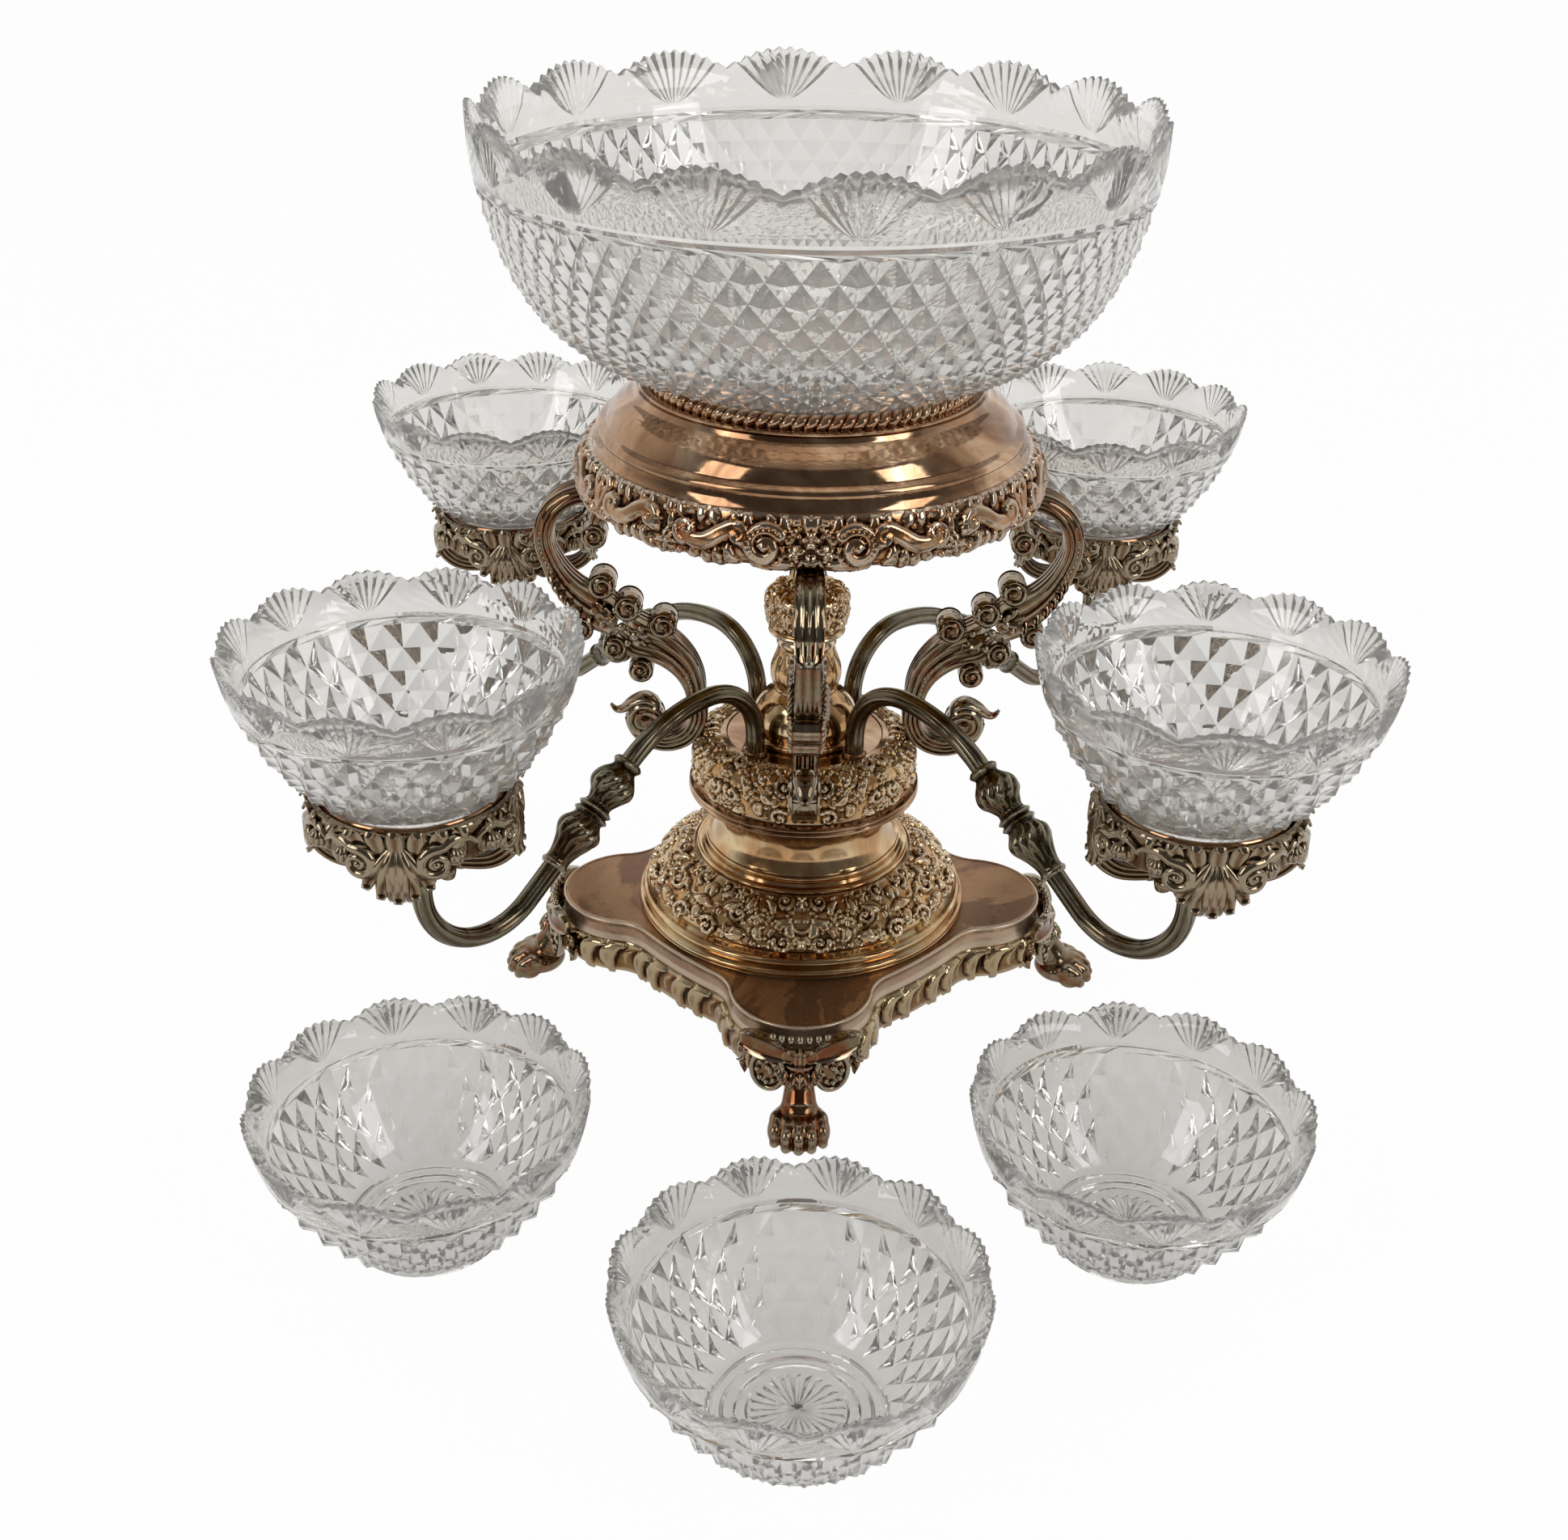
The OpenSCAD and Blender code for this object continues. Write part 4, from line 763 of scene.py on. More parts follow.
def borderShell():
    columns, rows = border["columns"], border["rows"]
    outline = evenly(np.vstack([plinthOutline(0), plinthOutline(0)[:1]]), columns + 1)[:-1]
    ahead = unitRows(np.roll(outline, -1, 0) - np.roll(outline, 1, 0))
    out = np.stack([ahead[:, 1], -ahead[:, 0]], -1)
    if (out * outline).sum() < 0:
        out = -out
    length = np.linalg.norm(np.roll(outline, -1, 0) - outline, axis=1).sum()
    pitch = length / 4 / round(length / 4 / border["pitch"])
    u = np.arange(columns) * length / columns % pitch
    v = np.linspace(0, 1, rows)
    deep = border["high"] - border["low"]
    field = np.zeros((columns, rows))
    for shift in (-pitch, 0, pitch):
        U, V = np.meshgrid((u + shift) * border["drawn"] / pitch, v * deep, indexing="ij")
        field = np.maximum(field, borderField(U, V))
    lower = border["low"] + 1.5 * (1 - np.clip(field[:, 2:5].max(1) / 1.1, 0, 1))
    height = lower[:, None] + (border["high"] - lower)[:, None] * v[None]
    base = 0.2 + 1.1 * np.sqrt(np.clip(1 - (2 * v - 1) ** 2, 0, 1))
    proud = np.minimum(base[None] + field * (0.5 + 0.5 * base[None] / base.max()), border["proud"])
    proud[:, -1] = 0.2
    front = np.concatenate([outline[:, None] + out[:, None] * proud[..., None], height[..., None]], -1)
    back = np.concatenate([np.stack([outline - out * 0.6, outline - out * 0.6], 1),
                           np.stack([height[:, -1], height[:, 0]], 1)[..., None]], -1)
    return gridShell(np.concatenate([front, back], 1), closeU=True, closeV=True)


makePiece("plinth_border", "stand", borderPlate, [borderShell()], worn=(40, 0.5))
print("plinth made")


# Cast friezes: half tiles of scrolls, flowers and leaves, mirrored and repeated.
standMotifs = [
    (rosetteField, [((0, 11), 3.4, 5, 2.4), ((4.6, 7.2), 2.8, 5, 2.2, 0.6), ((0, 4.2), 3.0, 6, 2.3),
                    ((5.2, 12.4), 2.4, 5, 1.9, 0.3), ((43.4, 6.0), 4.0, 6, 2.6), ((72.6, 5.4), 3.2, 5, 2.4)]),
    (curlField, [((13.4, 8.6), 5.8, 1.3, 140, -1, 2.4, 3.3), ((21.4, 11.2), 3.0, 1.0, 90, 1, 1.5, 3.2),
                 ((37.4, 10.4), 3.6, 1.1, -80, 1, 1.6, 3.3), ((51, 11.2), 3.0, 1.0, 90, 1, 1.5, 3.2),
                 ((67.6, 10.4), 3.6, 1.1, -80, 1, 1.6, 3.3)]),
    (leafField, [((12, 2.4), (3.4, 0.8), -0.2, 2.0, 2.2), ((17, 3.4), (11, 0.6), 0.3, 1.8, 2.0),
                 ((24, 7.6), (20, 1.4), 0.2, 1.9, 2.2), ((27.4, 6.4), (25.4, 0.6), 0.12, 1.9, 2.2),
                 ((31, 5.6), (31.6, 0.4), -0.1, 1.9, 2.2), ((34.4, 5.6), (37.4, 1.2), -0.18, 1.8, 2.1),
                 ((43.4, 10.4), (43.0, 15), 0.1, 1.7, 2.0), ((53, 7.4), (49.6, 1.2), 0.2, 1.9, 2.2),
                 ((56.6, 6.6), (55, 0.6), 0.12, 1.9, 2.2), ((60.4, 6.0), (61, 0.5), -0.1, 1.9, 2.2),
                 ((64, 5.6), (67, 1.0), -0.18, 1.8, 2.1), ((76.2, 6), (76.2, 15.4), 0.0, 2.4, 2.6),
                 ((74.6, 8), (70.8, 14.6), -0.2, 1.8, 2.2)]),
    (beadField, [((40.4, 2.2), 1.3, 1.8), ((46.4, 2.0), 1.3, 1.8), ((76.2, 3.4), 1.9, 2.3)])]
standScrolls = [[(19.4, 9.6), (21.6, 13.2), (26, 11.6), (31, 8.4), (35.4, 8.0), (38.6, 10.6)],
                [(49, 9.8), (51.4, 13.4), (56, 12.2), (61, 8.8), (65.6, 8.0), (69, 10.4)]]


def standTile(U, V):
    parts = [draw(U, V, *row) for draw, rows in standMotifs for row in rows]
    parts += [ribField(U, V, throughPoints(scroll, 8), [2.3, 2.9, 2.9, 2.2], 3.0, 0.34) for scroll in standScrolls]
    parts += [leafField(U, V, (u, 13.6), (u + 1.2, 18.6), 0.16 * (-1) ** k, 1.5, 1.7)
              for k, u in enumerate(np.arange(1.2, 77, 5.4))]
    chance = np.random.default_rng(11)
    for _ in range(170):
        spot = (chance.uniform(0, 76), chance.uniform(1, 18))
        parts.append(beadField(U, V, spot, chance.uniform(0.6, 1.2), chance.uniform(0.8, 1.7)))
    return np.max(parts, 0)


# Loose foliage: lanes of flowers, curls and leaves with beads scattered between them.
foliage = {"lane": 6.2, "pitch": 6.6, "perBead": 5}
reliefEdge = 1.6


def foliageTile(U, V, length, deep, seed):
    chance = np.random.default_rng(seed)
    parts = []
    lanes, count = max(3, round(deep / foliage["lane"])), round(length / foliage["pitch"])
    for lane in range(lanes):
        v = deep * (lane + 0.5) / lanes
        for k in range(count + 1):
            u = length * (k + 0.5 * (lane % 2)) / count + chance.uniform(-0.7, 0.7)
            w = v + chance.uniform(-0.8, 0.8)
            kind = (k + 2 * lane) % 4
            if kind == 0:
                parts.append(rosetteField(U, V, (u, w), chance.uniform(2.5, 3.3), 5, 2.1, chance.uniform(0, 1.2)))
            elif kind == 1:
                parts.append(curlField(U, V, (u, w), chance.uniform(2.6, 3.4), 1.2, chance.uniform(0, 360),
                                       chance.choice([-1, 1]), 0.9, 2.4))
            else:
                turn = chance.uniform(0, tau)
                tip = (u + 5.4 * math.cos(turn), w + 4.4 * math.sin(turn))
                parts.append(leafField(U, V, (u, w), tip, chance.choice([-0.25, 0.25]), 1.7, 2.2))
    for _ in range(round(length * deep / foliage["perBead"])):
        spot = (chance.uniform(0, length), chance.uniform(0.4, deep - 0.4))
        parts.append(beadField(U, V, spot, chance.uniform(0.5, 1.0), chance.uniform(0.7, 1.5)))
    return np.max(parts, 0)


def friezeShell(band):
    front = evenly(band["front"], band["rows"])
    run = runAlong(front)
    middle = front[:, 0].mean()
    halves = band["halves"]
    length = tau * middle / halves
    perHalf = band["columns"] // halves
    U, V = np.meshgrid(np.linspace(0, length, perHalf + 1), run, indexing="ij")
    half = band["draw"](U, V, length, run[-1])
    edge = np.clip(np.minimum(run, run[-1] - run) / reliefEdge, 0, 1) ** 0.5
    half = half * (0.25 + 0.75 * edge)[None]
    field = np.tile(mirrorTile(half), (halves // 2, 1))
    back = np.asarray(band["back"], float)
    profile = np.vstack([front, back])
    raised = np.pad(field * band["scale"], ((0, 0), (0, len(back))))
    normals = np.pad(profileNormals(front, False), ((0, len(back)), (0, 0)))
    radius, height = (profile[None, :, k] + raised * normals[None, :, k] for k in (0, 1))
    if "wave" in band:
        depth, count = band["wave"]
        u = np.arange(len(field)) / len(field)
        fade = np.concatenate([np.linspace(1, 0, len(front)) ** 3, np.zeros(len(back))])
        fade[-1] = 1
        height = height + (depth * (0.5 + 0.5 * np.cos(tau * count * u)))[:, None] * fade[None]
    angle = math.radians(-90) + around(len(field))[:, None]
    return gridShell(polar(radius, angle, height), closeU=True, closeV=True)


standFrieze = {"front": throughPoints([(91.8, 239.0), (94.6, 243.2), (94.6, 248.4), (93.2, 253.6), (92.0, 258.2),
                                       (90.3, 260.8)], 8),
               "back": [(88.8, 260.6), (88.4, 256.7), (88.4, 241.0)], "rows": 46, "columns": 1152, "halves": 6,
               "scale": 0.82, "wave": (1.9, 24),
               "draw": lambda U, V, length, deep: standTile(U * 76.2 / length, V * 76.2 / length) * 1.12}
baseFrieze = {"front": throughPoints([(66.8, 54.2), (67.0, 57.4), (58.6, 65.6), (48.6, 71.2)], 8),
              "back": [(47.6, 69.6), (65.4, 54.4)], "rows": 48, "columns": 768, "halves": 8, "scale": 0.8,
              "draw": lambda U, V, length, deep: foliageTile(U / 1.25, V / 1.25, length / 1.25, deep / 1.25, 5) * 1.1}
drumFrieze = {"front": throughPoints([(47.9, 105.7), (48.2, 112), (48.0, 119), (45.8, 123.8), (42, 126.2), (37, 126.6)],
                                     8),
              "back": [(36.6, 125.9), (42.6, 125.2), (46.9, 119), (46.9, 106)], "rows": 50, "columns": 672, "halves": 8,
              "scale": 0.8,
              "draw": lambda U, V, length, deep: foliageTile(U / 1.3, V / 1.3, length / 1.3, deep / 1.3, 8) * 1.1}
makePiece("stand_frieze", "stand", castPlate, [friezeShell(standFrieze)], worn=(16, 0.5))
makePiece("base_frieze", "stand", giltPlate, [friezeShell(baseFrieze)])
makePiece("drum_frieze", "stand", giltPlate, [friezeShell(drumFrieze)])
print("friezes made")


# Spun pieces, turned from profiles whose mouldings are drawn as arcs.
def spunPiece(name, finish, profile, count=240):
    makePiece(name, "stand", finish, [turnedShell(profile, count)], sharp=32)


def roll(r, z, size, start, end, count=9):
    return arcPoints((r, z), size, start, end, count).tolist()


def curve(points, steps=8):
    return throughPoints(points, steps).tolist()


baseProfile = (
    [(71.6, 44.8), (73.2, 44.8)] + roll(71.9, 46.6, 1.7, -60, 80) + [(71.4, 48.6)]
    + roll(69.6, 50.4, 2.2, -30, 100) + [(68.6, 52.7), (67.6, 53.4), (66.4, 53.7), (48.4, 69.8)]
    + roll(46.2, 71.4, 1.5, -50, 120) + [(44.8, 72.9), (44.2, 74.2)] + roll(42.4, 75.6, 1.1, -60, 110, 7)
    + curve([(41.4, 77.4), (39.4, 83), (38.8, 89), (40.4, 95), (43.6, 99.8)])
    + [(4, 99.8), (4, 98), (36, 97), (36, 76), (64, 52), (70, 47)])
spunPiece("base_dome", goldPlate, baseProfile)
drumProfile = (
    [(41, 100.1), (48.6, 100.1)] + roll(49.6, 101.4, 1.3, -80, 80) + roll(49.9, 103.6, 0.9, -80, 80, 7)
    + [(49.2, 105.0), (47.3, 105.6), (47.3, 119.5)] + roll(41.5, 119.5, 5.8, 0, 75, 7)
    + [(37, 126), (34.4, 126.4), (33.8, 126.0), (28, 125.9), (4, 125.9), (4, 123.4), (39, 123.4), (44, 118),
       (44, 103), (41, 102)])
spunPiece("drum", spunPlate, drumProfile)
bellProfile = (
    [(4, 126.1), (23.9, 126.1)] + roll(22.6, 127.2, 1.3, -50, 90, 7)
    + curve([(22.4, 128.9), (22.8, 134), (21.2, 140), (17.6, 145), (13.6, 147.6)])
    + roll(12.4, 148.0, 0.8, -40, 60, 5) + [(4, 148.5)])
spunPiece("bell", goldPlate, bellProfile, 128)
topProfile = curve([(8.0, 200.9), (7.4, 206), (7.4, 214), (9.0, 226), (14, 236), (23.6, 241.4), (23.8, 242.9)])
spunPiece("column_top", spunPlate, [(4, 200.9)] + topProfile + [(4, 242.9)], 96)
standProfile = (
    [(86.4, 243.2), (87.9, 243.2), (87.9, 256.9), (90.6, 257.2)] + roll(90.4, 258.5, 1.0, -70, 80, 7)
    + curve([(89.6, 259.8), (87.8, 262.4), (87.0, 265.4)], 6)
    + roll(84.6, 266.4, 2.6, -20, 75, 9) + [(83.4, 269.4)]
    + curve([(83.3, 269.9), (82.2, 271.9), (80.6, 274.4), (78.6, 276.7), (76.6, 278.2)], 6)
    + [(75.2, 279.0)] + curve([(74.6, 279.6), (72.0, 280.8), (70.6, 283.2)], 6)
    + roll(69.0, 284.2, 0.8, -60, 90, 5) + [(4, 284.9), (4, 283), (66, 282), (78, 272), (84, 262), (86.4, 256)])
spunPiece("bowl_stand", spunPlate, standProfile)
panProfile = [(4, 243.1), (85.9, 243.1), (85.9, 244.9), (4, 244.9)]
spunPiece("stand_pan", plainBrass, panProfile, 128)
print("spun pieces made")


# Column knops: leaves wrapped round the lower one, dense foliage on the upper one.
def knopRelief(profile, count, leaves, seed, span):
    p = np.asarray(profile, float)
    run = runAlong(p)
    length = tau * p[:, 0].max() / leaves
    per = count // leaves
    U, V = np.meshgrid(np.linspace(0, length, per, endpoint=False), run, indexing="ij")
    field = np.zeros(U.shape)
    for shift in (-length, 0, length):
        if seed is None:
            field = np.maximum(field, leafField(U + shift, V, (length / 2, 1), (length / 2, run[-1] * 0.66), 0,
                                                length * 0.46, 1.6))
            field = np.maximum(field, leafField(U + shift, V, (0, 4), (0, run[-1] * 0.8), 0, length * 0.3, 1.2))
        else:
            field = np.maximum(field, foliageTile(U + shift, V, length, run[-1], seed) * 0.8)
    fade = np.clip(np.minimum(p[:, 1] - span[0], span[1] - p[:, 1]) / reliefEdge, 0, 1)
    return np.tile(field * fade[None], (leaves, 1))


lowerKnop = evenly(throughPoints([(12.4, 148.7), (14.2, 153.2), (14.6, 157), (13.4, 161.6), (12.0, 166.6),
                                  (12.9, 170), (12.2, 171.9)], 8), 46)
upperKnop = evenly(throughPoints([(12.4, 172.1), (13.2, 173.4), (15.6, 174.4), (16.6, 175.8), (15.6, 177.2),
                                  (15.4, 178.2), (16.6, 180.6), (17.2, 184), (17.3, 188.6), (16.8, 192), (15.0, 193.8),
                                  (12.0, 194.4), (8.6, 195.4), (7.4, 198), (7.6, 200.7)], 8), 64)
knopColumns = 168
for label, profile, leaves, seed, span in (("lower_knop", lowerKnop, 8, None, (148.7, 171.9)),
                                           ("upper_knop", upperKnop, 6, 3, (177.6, 201.0))):
    raised = knopRelief(profile, knopColumns, leaves, seed, span) * 0.7
    makePiece(label, "stand", giltPlate, [turnedShell(profile, knopColumns, raised, closed=False)])

# Hidden clamping rod and the sockets on the drum.
rod = {"radius": 3.0, "low": 33.7, "high": 252.0, "bevel": 0.6}
r, low, high, bevel = rod.values()
rodProfile = [(r - bevel, low), (r, low + bevel), (r, high - bevel), (r - bevel, high)]
makePiece("tie_rod", "stand", plainBrass, [turnedShell(rodProfile, 32, closed=False)])
washerProfile = [(3.3, 40.8), (15.7, 40.8), (16, 41.1), (16, 42.4), (15.7, 42.7), (3.3, 42.7)]
makePiece("base_washer", "stand", plainBrass, [turnedShell(washerProfile, 48)])
for label, z in (("base_nut", 36.7), ("top_nut", 245.0)):
    nutProfile = [(3.0, z + 0.1), (5.6, z + 0.1), (6.3, z + 0.6), (6.3, z + 3.4), (5.6, z + 3.9), (3.0, z + 3.9)]
    makePiece(label, "stand", plainBrass, [turnedShell(nutProfile, 6)])
socketProfile = ([(3.1, 107.2), (4.4, 107.2), (4.4, 126.1), (5.2, 126.1)] + roll(4.5, 127.1, 0.85, -60, 90, 6)
                 + [(3.1, 127.9)])
socketReach = 30.0
for arm, angle in armAngles.items():
    spot = aboutZ(angle) @ np.array([socketReach, 0, 0])
    makePiece("socket_" + arm, "stand", spunPlate,
              [shifted(turnedShell(socketProfile, 40), spot)])
print("column made")


# Shapes that are copied to many places.
def ellipsoidShell(columns, rows, radii=(1, 1, 1)):
    tilt = np.linspace(-math.pi / 2, math.pi / 2, rows + 2)[1:-1]
    profile = np.stack([np.cos(tilt), np.sin(tilt)], -1)
    points, faces = turnedShell(profile, columns, closed=False)
    points[-2:, 2] = (-1, 1)
    return points * np.array(radii), faces


def voluteShell(radius, half, turns):
    rings, steps = 11, 40
    R, T = np.meshgrid(np.linspace(0.05, 1, rings), around(steps), indexing="ij")
    wave = np.abs(np.cos(math.pi * (turns * R - T / tau))) ** 0.7
    eye = 1.3 * np.sqrt(np.clip(1 - (R / 0.3) ** 2, 0, 1))
    rise = np.maximum(np.where(R > 0.24, wave, 0), eye) + 0.6 * (1 - R)
    top = polar(radius * R, T, half + rise * np.clip((1.02 - R) / 0.1, 0.1, 1))
    rim = []
    for h in np.linspace(0.94, -0.94, 13):
        k = 1.03 - 0.1 * h * h - 0.022 * (1 - abs(math.cos(1.5 * math.pi * h)))
        rim.append(polar(radius * k, T[0], half * h))
    points = np.concatenate([top, np.stack(rim), top[::-1] * np.array([1, 1, -1])])
    return cappedTube(points, (0, 0, half + 1.9), (0, 0, -half - 1.9))


def leafShell(spine, width, side, lobes, cup, thick, rows, columns, fold):
    path = evenly(throughPoints(spine, 12), rows)
    t = np.linspace(0, 1, rows)[:, None]
    x = np.linspace(-1, 1, columns)[None]
    swell = np.sin(math.pi * np.clip(t * 0.9 + 0.09, 0, 1)) ** 0.7
    notch = 1 - 0.3 * np.abs(np.cos(math.pi * lobes * t)) ** 6 * (t < 0.96)
    half = np.maximum(width * swell * notch, 0.3)
    vein = np.abs(np.cos(math.pi * (lobes * t + 0.9 * np.abs(x)))) ** 1.4
    b = cup * half * x ** 2 + fold * swell * (vein * np.abs(x) ** 0.6 - 0.9 * np.exp(-(x / 0.14) ** 2))
    a = half * x
    front = np.stack([a, b], -1)
    back = np.stack([a * 0.96, b - thick * (1 - 0.5 * x ** 2)], -1)[:, ::-1]
    return sweptShell(path, np.concatenate([front, back], 1), side)


def reededSection(width, face, reeds, depth):
    x = np.linspace(-0.94, 0.94, 17)

    def dent(count):
        ridges = np.abs(np.cos(math.pi * count / 2 * (x + (0 if count % 2 else 1 / count))))
        return depth * (1 - ridges) if depth > 0 else -depth * ridges

    w, f = width / 2, face / 2
    edge, broad = dent(reeds[0]), dent(reeds[1])
    right = np.stack([f - broad, w * x], -1)
    top = np.stack([-f * x, w - edge], -1)
    left = np.stack([-f + broad, -w * x], -1)
    bottom = np.stack([f * x, -w + edge], -1)
    return np.concatenate([right, top, left, bottom])


# Straps follow rows of x, z and width.
def strapShell(line, face, reeds, depth, rows):
    line = evenly(line, rows)
    section = np.stack([reededSection(w, f, reeds, depth) for w, f in zip(line[:, 2], spread(face, rows))])
    return sweptShell(upright(line), section, (0, 1, 0))


def roundStrap(line, face, rows):
    line = evenly(line, rows)
    return sweptShell(upright(line), ovalRows(spread(face, rows) / 2, line[:, 2] / 2, around(28)), (0, 1, 0))


# Gadrooned collar: slanting strands raised on a plain ring.
collar = {"bore": 62.7, "low": 285.1, "strands": 88, "columns": 10, "twist": 0.9, "rise": 1.5, "rows": 20,
          "line": [(64.6, 285.1), (66.0, 285.5), (66.5, 287.2), (66.0, 288.8), (64.8, 289.9), (63.4, 290.2)]}


def collarShell():
    rows, strands = collar["rows"], collar["strands"]
    line = evenly(throughPoints(collar["line"], 8), rows)
    t = np.linspace(0, 1, rows)[None]
    u = np.arange(strands * collar["columns"])[:, None] / collar["columns"]
    across = 2 * ((u - collar["twist"] * t) % 1) - 1
    fade = np.clip(np.minimum(t, 1 - t) / 0.14, 0, 1) ** 0.5
    raised = collar["rise"] * (np.sqrt(np.clip(1 - across ** 2, 0, 1)) - 0.45) * fade
    profile = np.vstack([line, [(collar["bore"], 289.9), (collar["bore"], collar["low"])]])
    return turnedShell(profile, len(u), np.concatenate([raised, np.zeros((len(u), 2))], 1))


makePiece("gadroon_collar", "stand", castPlate, [collarShell()], worn=(7, 0.5))
print("collar made")

# Scroll brackets: reeded straps that flare into a web set with volutes.
bracket = {"upper": (91.0, 216.0), "upperR": 19.6, "lower": (61.0, 135.5), "lowerR": 14.5, "open": 22.0,
           "strap": 8.8, "face": 10.8, "end": (69.6, 131.9), "endR": 8.2, "rim": (89.4, 217.2), "rimR": 5.3,
           "inner": [(86.7, 195.3), (75.9, 185.3), (61.1, 177.8)], "innerR": 5.9,
           "outer": [(96.0, 175.5), (81.9, 167.1), (70.9, 156.6)], "outerR": 5.3,
           "buds": [(84, 181, 2.3), (81.4, 184.6, 1.7), (87, 178.2, 1.7), (73, 173, 2.4), (70.4, 176.4, 1.7),
                    (76.2, 169.6, 1.8), (78.6, 177, 2.0)], "beads": 11}


def upperAt(degrees, off=0.0):
    opening = 0.68 * bracket["open"] * (np.maximum(0, -degrees - 20) / 80) ** 2
    r, a = bracket["upperR"] + opening + off, np.radians(degrees)
    return np.stack([bracket["upper"][0] + r * np.cos(a), bracket["upper"][1] + r * np.sin(a)], -1)


def lowerAt(degrees, off=0.0):
    opening = bracket["open"] * (np.maximum(0, 165 - degrees) / 90) ** 1.6
    r, a = bracket["lowerR"] + opening + off, np.radians(degrees)
    return np.stack([bracket["lower"][0] + r * np.cos(a), bracket["lower"][1] + r * np.sin(a)], -1)


def bracketParts():
    strap, face, end = bracket["strap"], bracket["face"], np.array(bracket["end"])
    f = np.linspace(0, 1, 70)
    upperWidth = strap * (0.86 + 0.1 * f + 1.1 * (np.maximum(0, f - 0.6) / 0.4) ** 2)
    lowerWidth = strap * (0.94 + 1.2 * (np.maximum(0, 0.3 - f) / 0.3) ** 1.5 - 0.4 * np.maximum(0, f - 0.45))
    upperLine = np.vstack([np.column_stack([upperAt(104 - 200 * f), upperWidth]), [(81.0, 178.4, 14.5)]])
    lowerLine = np.vstack([[(77.6, 176.6, 15)], np.column_stack([lowerAt(74 + 278 * f), lowerWidth])])
    shells = [strapShell(upperLine, face, (3, 4), 0.5, 96), strapShell(lowerLine, face, (3, 4), 0.5, 110)]
    neck = throughPoints([(81, 242.4, 11), (84.4, 232, 9), (88, 224, 7), (89.4, 218, 6)], 8)
    shells.append(strapShell(neck, face * 0.9, (2, 3), 0.5, 14))
    lug = throughPoints([(79, 242.6, 10), (86, 238.4, 8.4), (92, 235, 7)], 8)
    shells.append(strapShell(lug, face, (2, 3), 0.5, 10))
    tongue = np.vstack([np.column_stack([upperAt(np.linspace(96, 24, 14), 2.9), np.full(14, 2.8)]),
                        [(112.4, 220.5, 3.4), (114.6, 215, 3.4), (117.2, 212.2, 3.0), (120.4, 213.2, 2.2)]])
    shells.append(strapShell(tongue, [7.6, 10.6, 11.4, 11.6, 11.6, 11.6, 11.4, 10.6, 6.4], (4, 1), -0.7, 60))
    crest = np.array([(-5, 1, 2), (-4.6, 6.6, 4.2), (-0.1, 9.2, 5.2), (5.4, 7.2, 5), (9.9, 3.8, 3.6), (12.9, 3.4, 2.6),
                      (15, 5.8, 1.4)])
    crest[:, :2] += end
    shells.append(roundStrap(throughPoints(crest, 6), [8, 10, 10.4, 10, 8, 5, 2.4], 60))
    for hand in (-1, 1):
        for k in range(6):
            x, z = upperAt(-46.0 - 8.5 * k, 2.4 + 0.55 * k)
            spine = [(x - 1.4, hand * 4.6, z + 1.6), (x, hand * 6.4, z), (x - 0.2, hand * 7.8, z - 3.0)]
            shells.append(leafShell(spine, 1.9, (1, 0, 0.6), 1, 0.15, 1.0, 16, 7, 0.4))
        for start, finish in (((91, 187), (80.6, 178.4)), ((66, 168), (76, 175.6))):
            middle = (np.array(start) + finish) / 2
            spine = [(x, hand * y, z) for (x, z), y in ((start, 4.8), (middle, 6.9), (finish, 6.0))]
            shells.append(leafShell(spine, 3.6, (0.7, 0, -0.7), 3, -0.2 * hand, 1.4, 30, 11, 0.6))
    flip = np.array([[1, 0, 0], [0, 0, 1], [0, 1, 0]]) @ np.diag([1, 1, -1.0])
    places = [(spot, bracket["innerR"], 1, 1.0) for spot in bracket["inner"]]
    places += [(spot, bracket["outerR"], -1, 1.0) for spot in bracket["outer"]]
    places += [(bracket["rim"], bracket["rimR"], -1, 0.86), (bracket["end"], bracket["endR"], 1, 0.86)]
    volutes = [((x, 0, z), eulerOf(flip), (size / 6 * hand, size / 6, broad)) for (x, z), size, hand, broad in places]
    beads = [((x, hand * 6.0, z), (0, 0, 0), (r, r * 0.8, r)) for x, z, r in bracket["buds"] for hand in (-1, 1)]
    t = np.linspace(0, 1, bracket["beads"])
    for spots in (upperAt(8 - 62 * t, 1.5), lowerAt(98 + 52 * t, -1.6)):
        for (x, z), share in zip(spots, t):
            size = 0.75 + 0.3 * share
            beads += [((x, hand * (face / 2 - 0.4), z), (0, 0, 0), (size, size, size)) for hand in (-1, 1)]
    beads.append(((120.2, 0, 214.4), (0, 0, 0), (1.6, 1.9, 1.6)))
    return shells, [(voluteShell(6.0, 6.0, 2.4), volutes), (ellipsoidShell(12, 7), beads)]


bracketShells, bracketRepeats = bracketParts()
for corner, angle in cornerAngles.items():
    makePiece("bracket_" + corner, "stand", scrollPlate, bracketShells, bracketRepeats, turn=angle)
print("brackets made")

# Paw feet: toes and leg melted together, under a mount of wings, roundels and a flower.
paw = {"at": 122.0, "voxel": 0.6, "soften": 3, "roundel": (13.4, 25.0, 7.8, 9.0), "mount": 3.6,
       "ankle": (27.2, 4.6, 6.8, 2.4)}


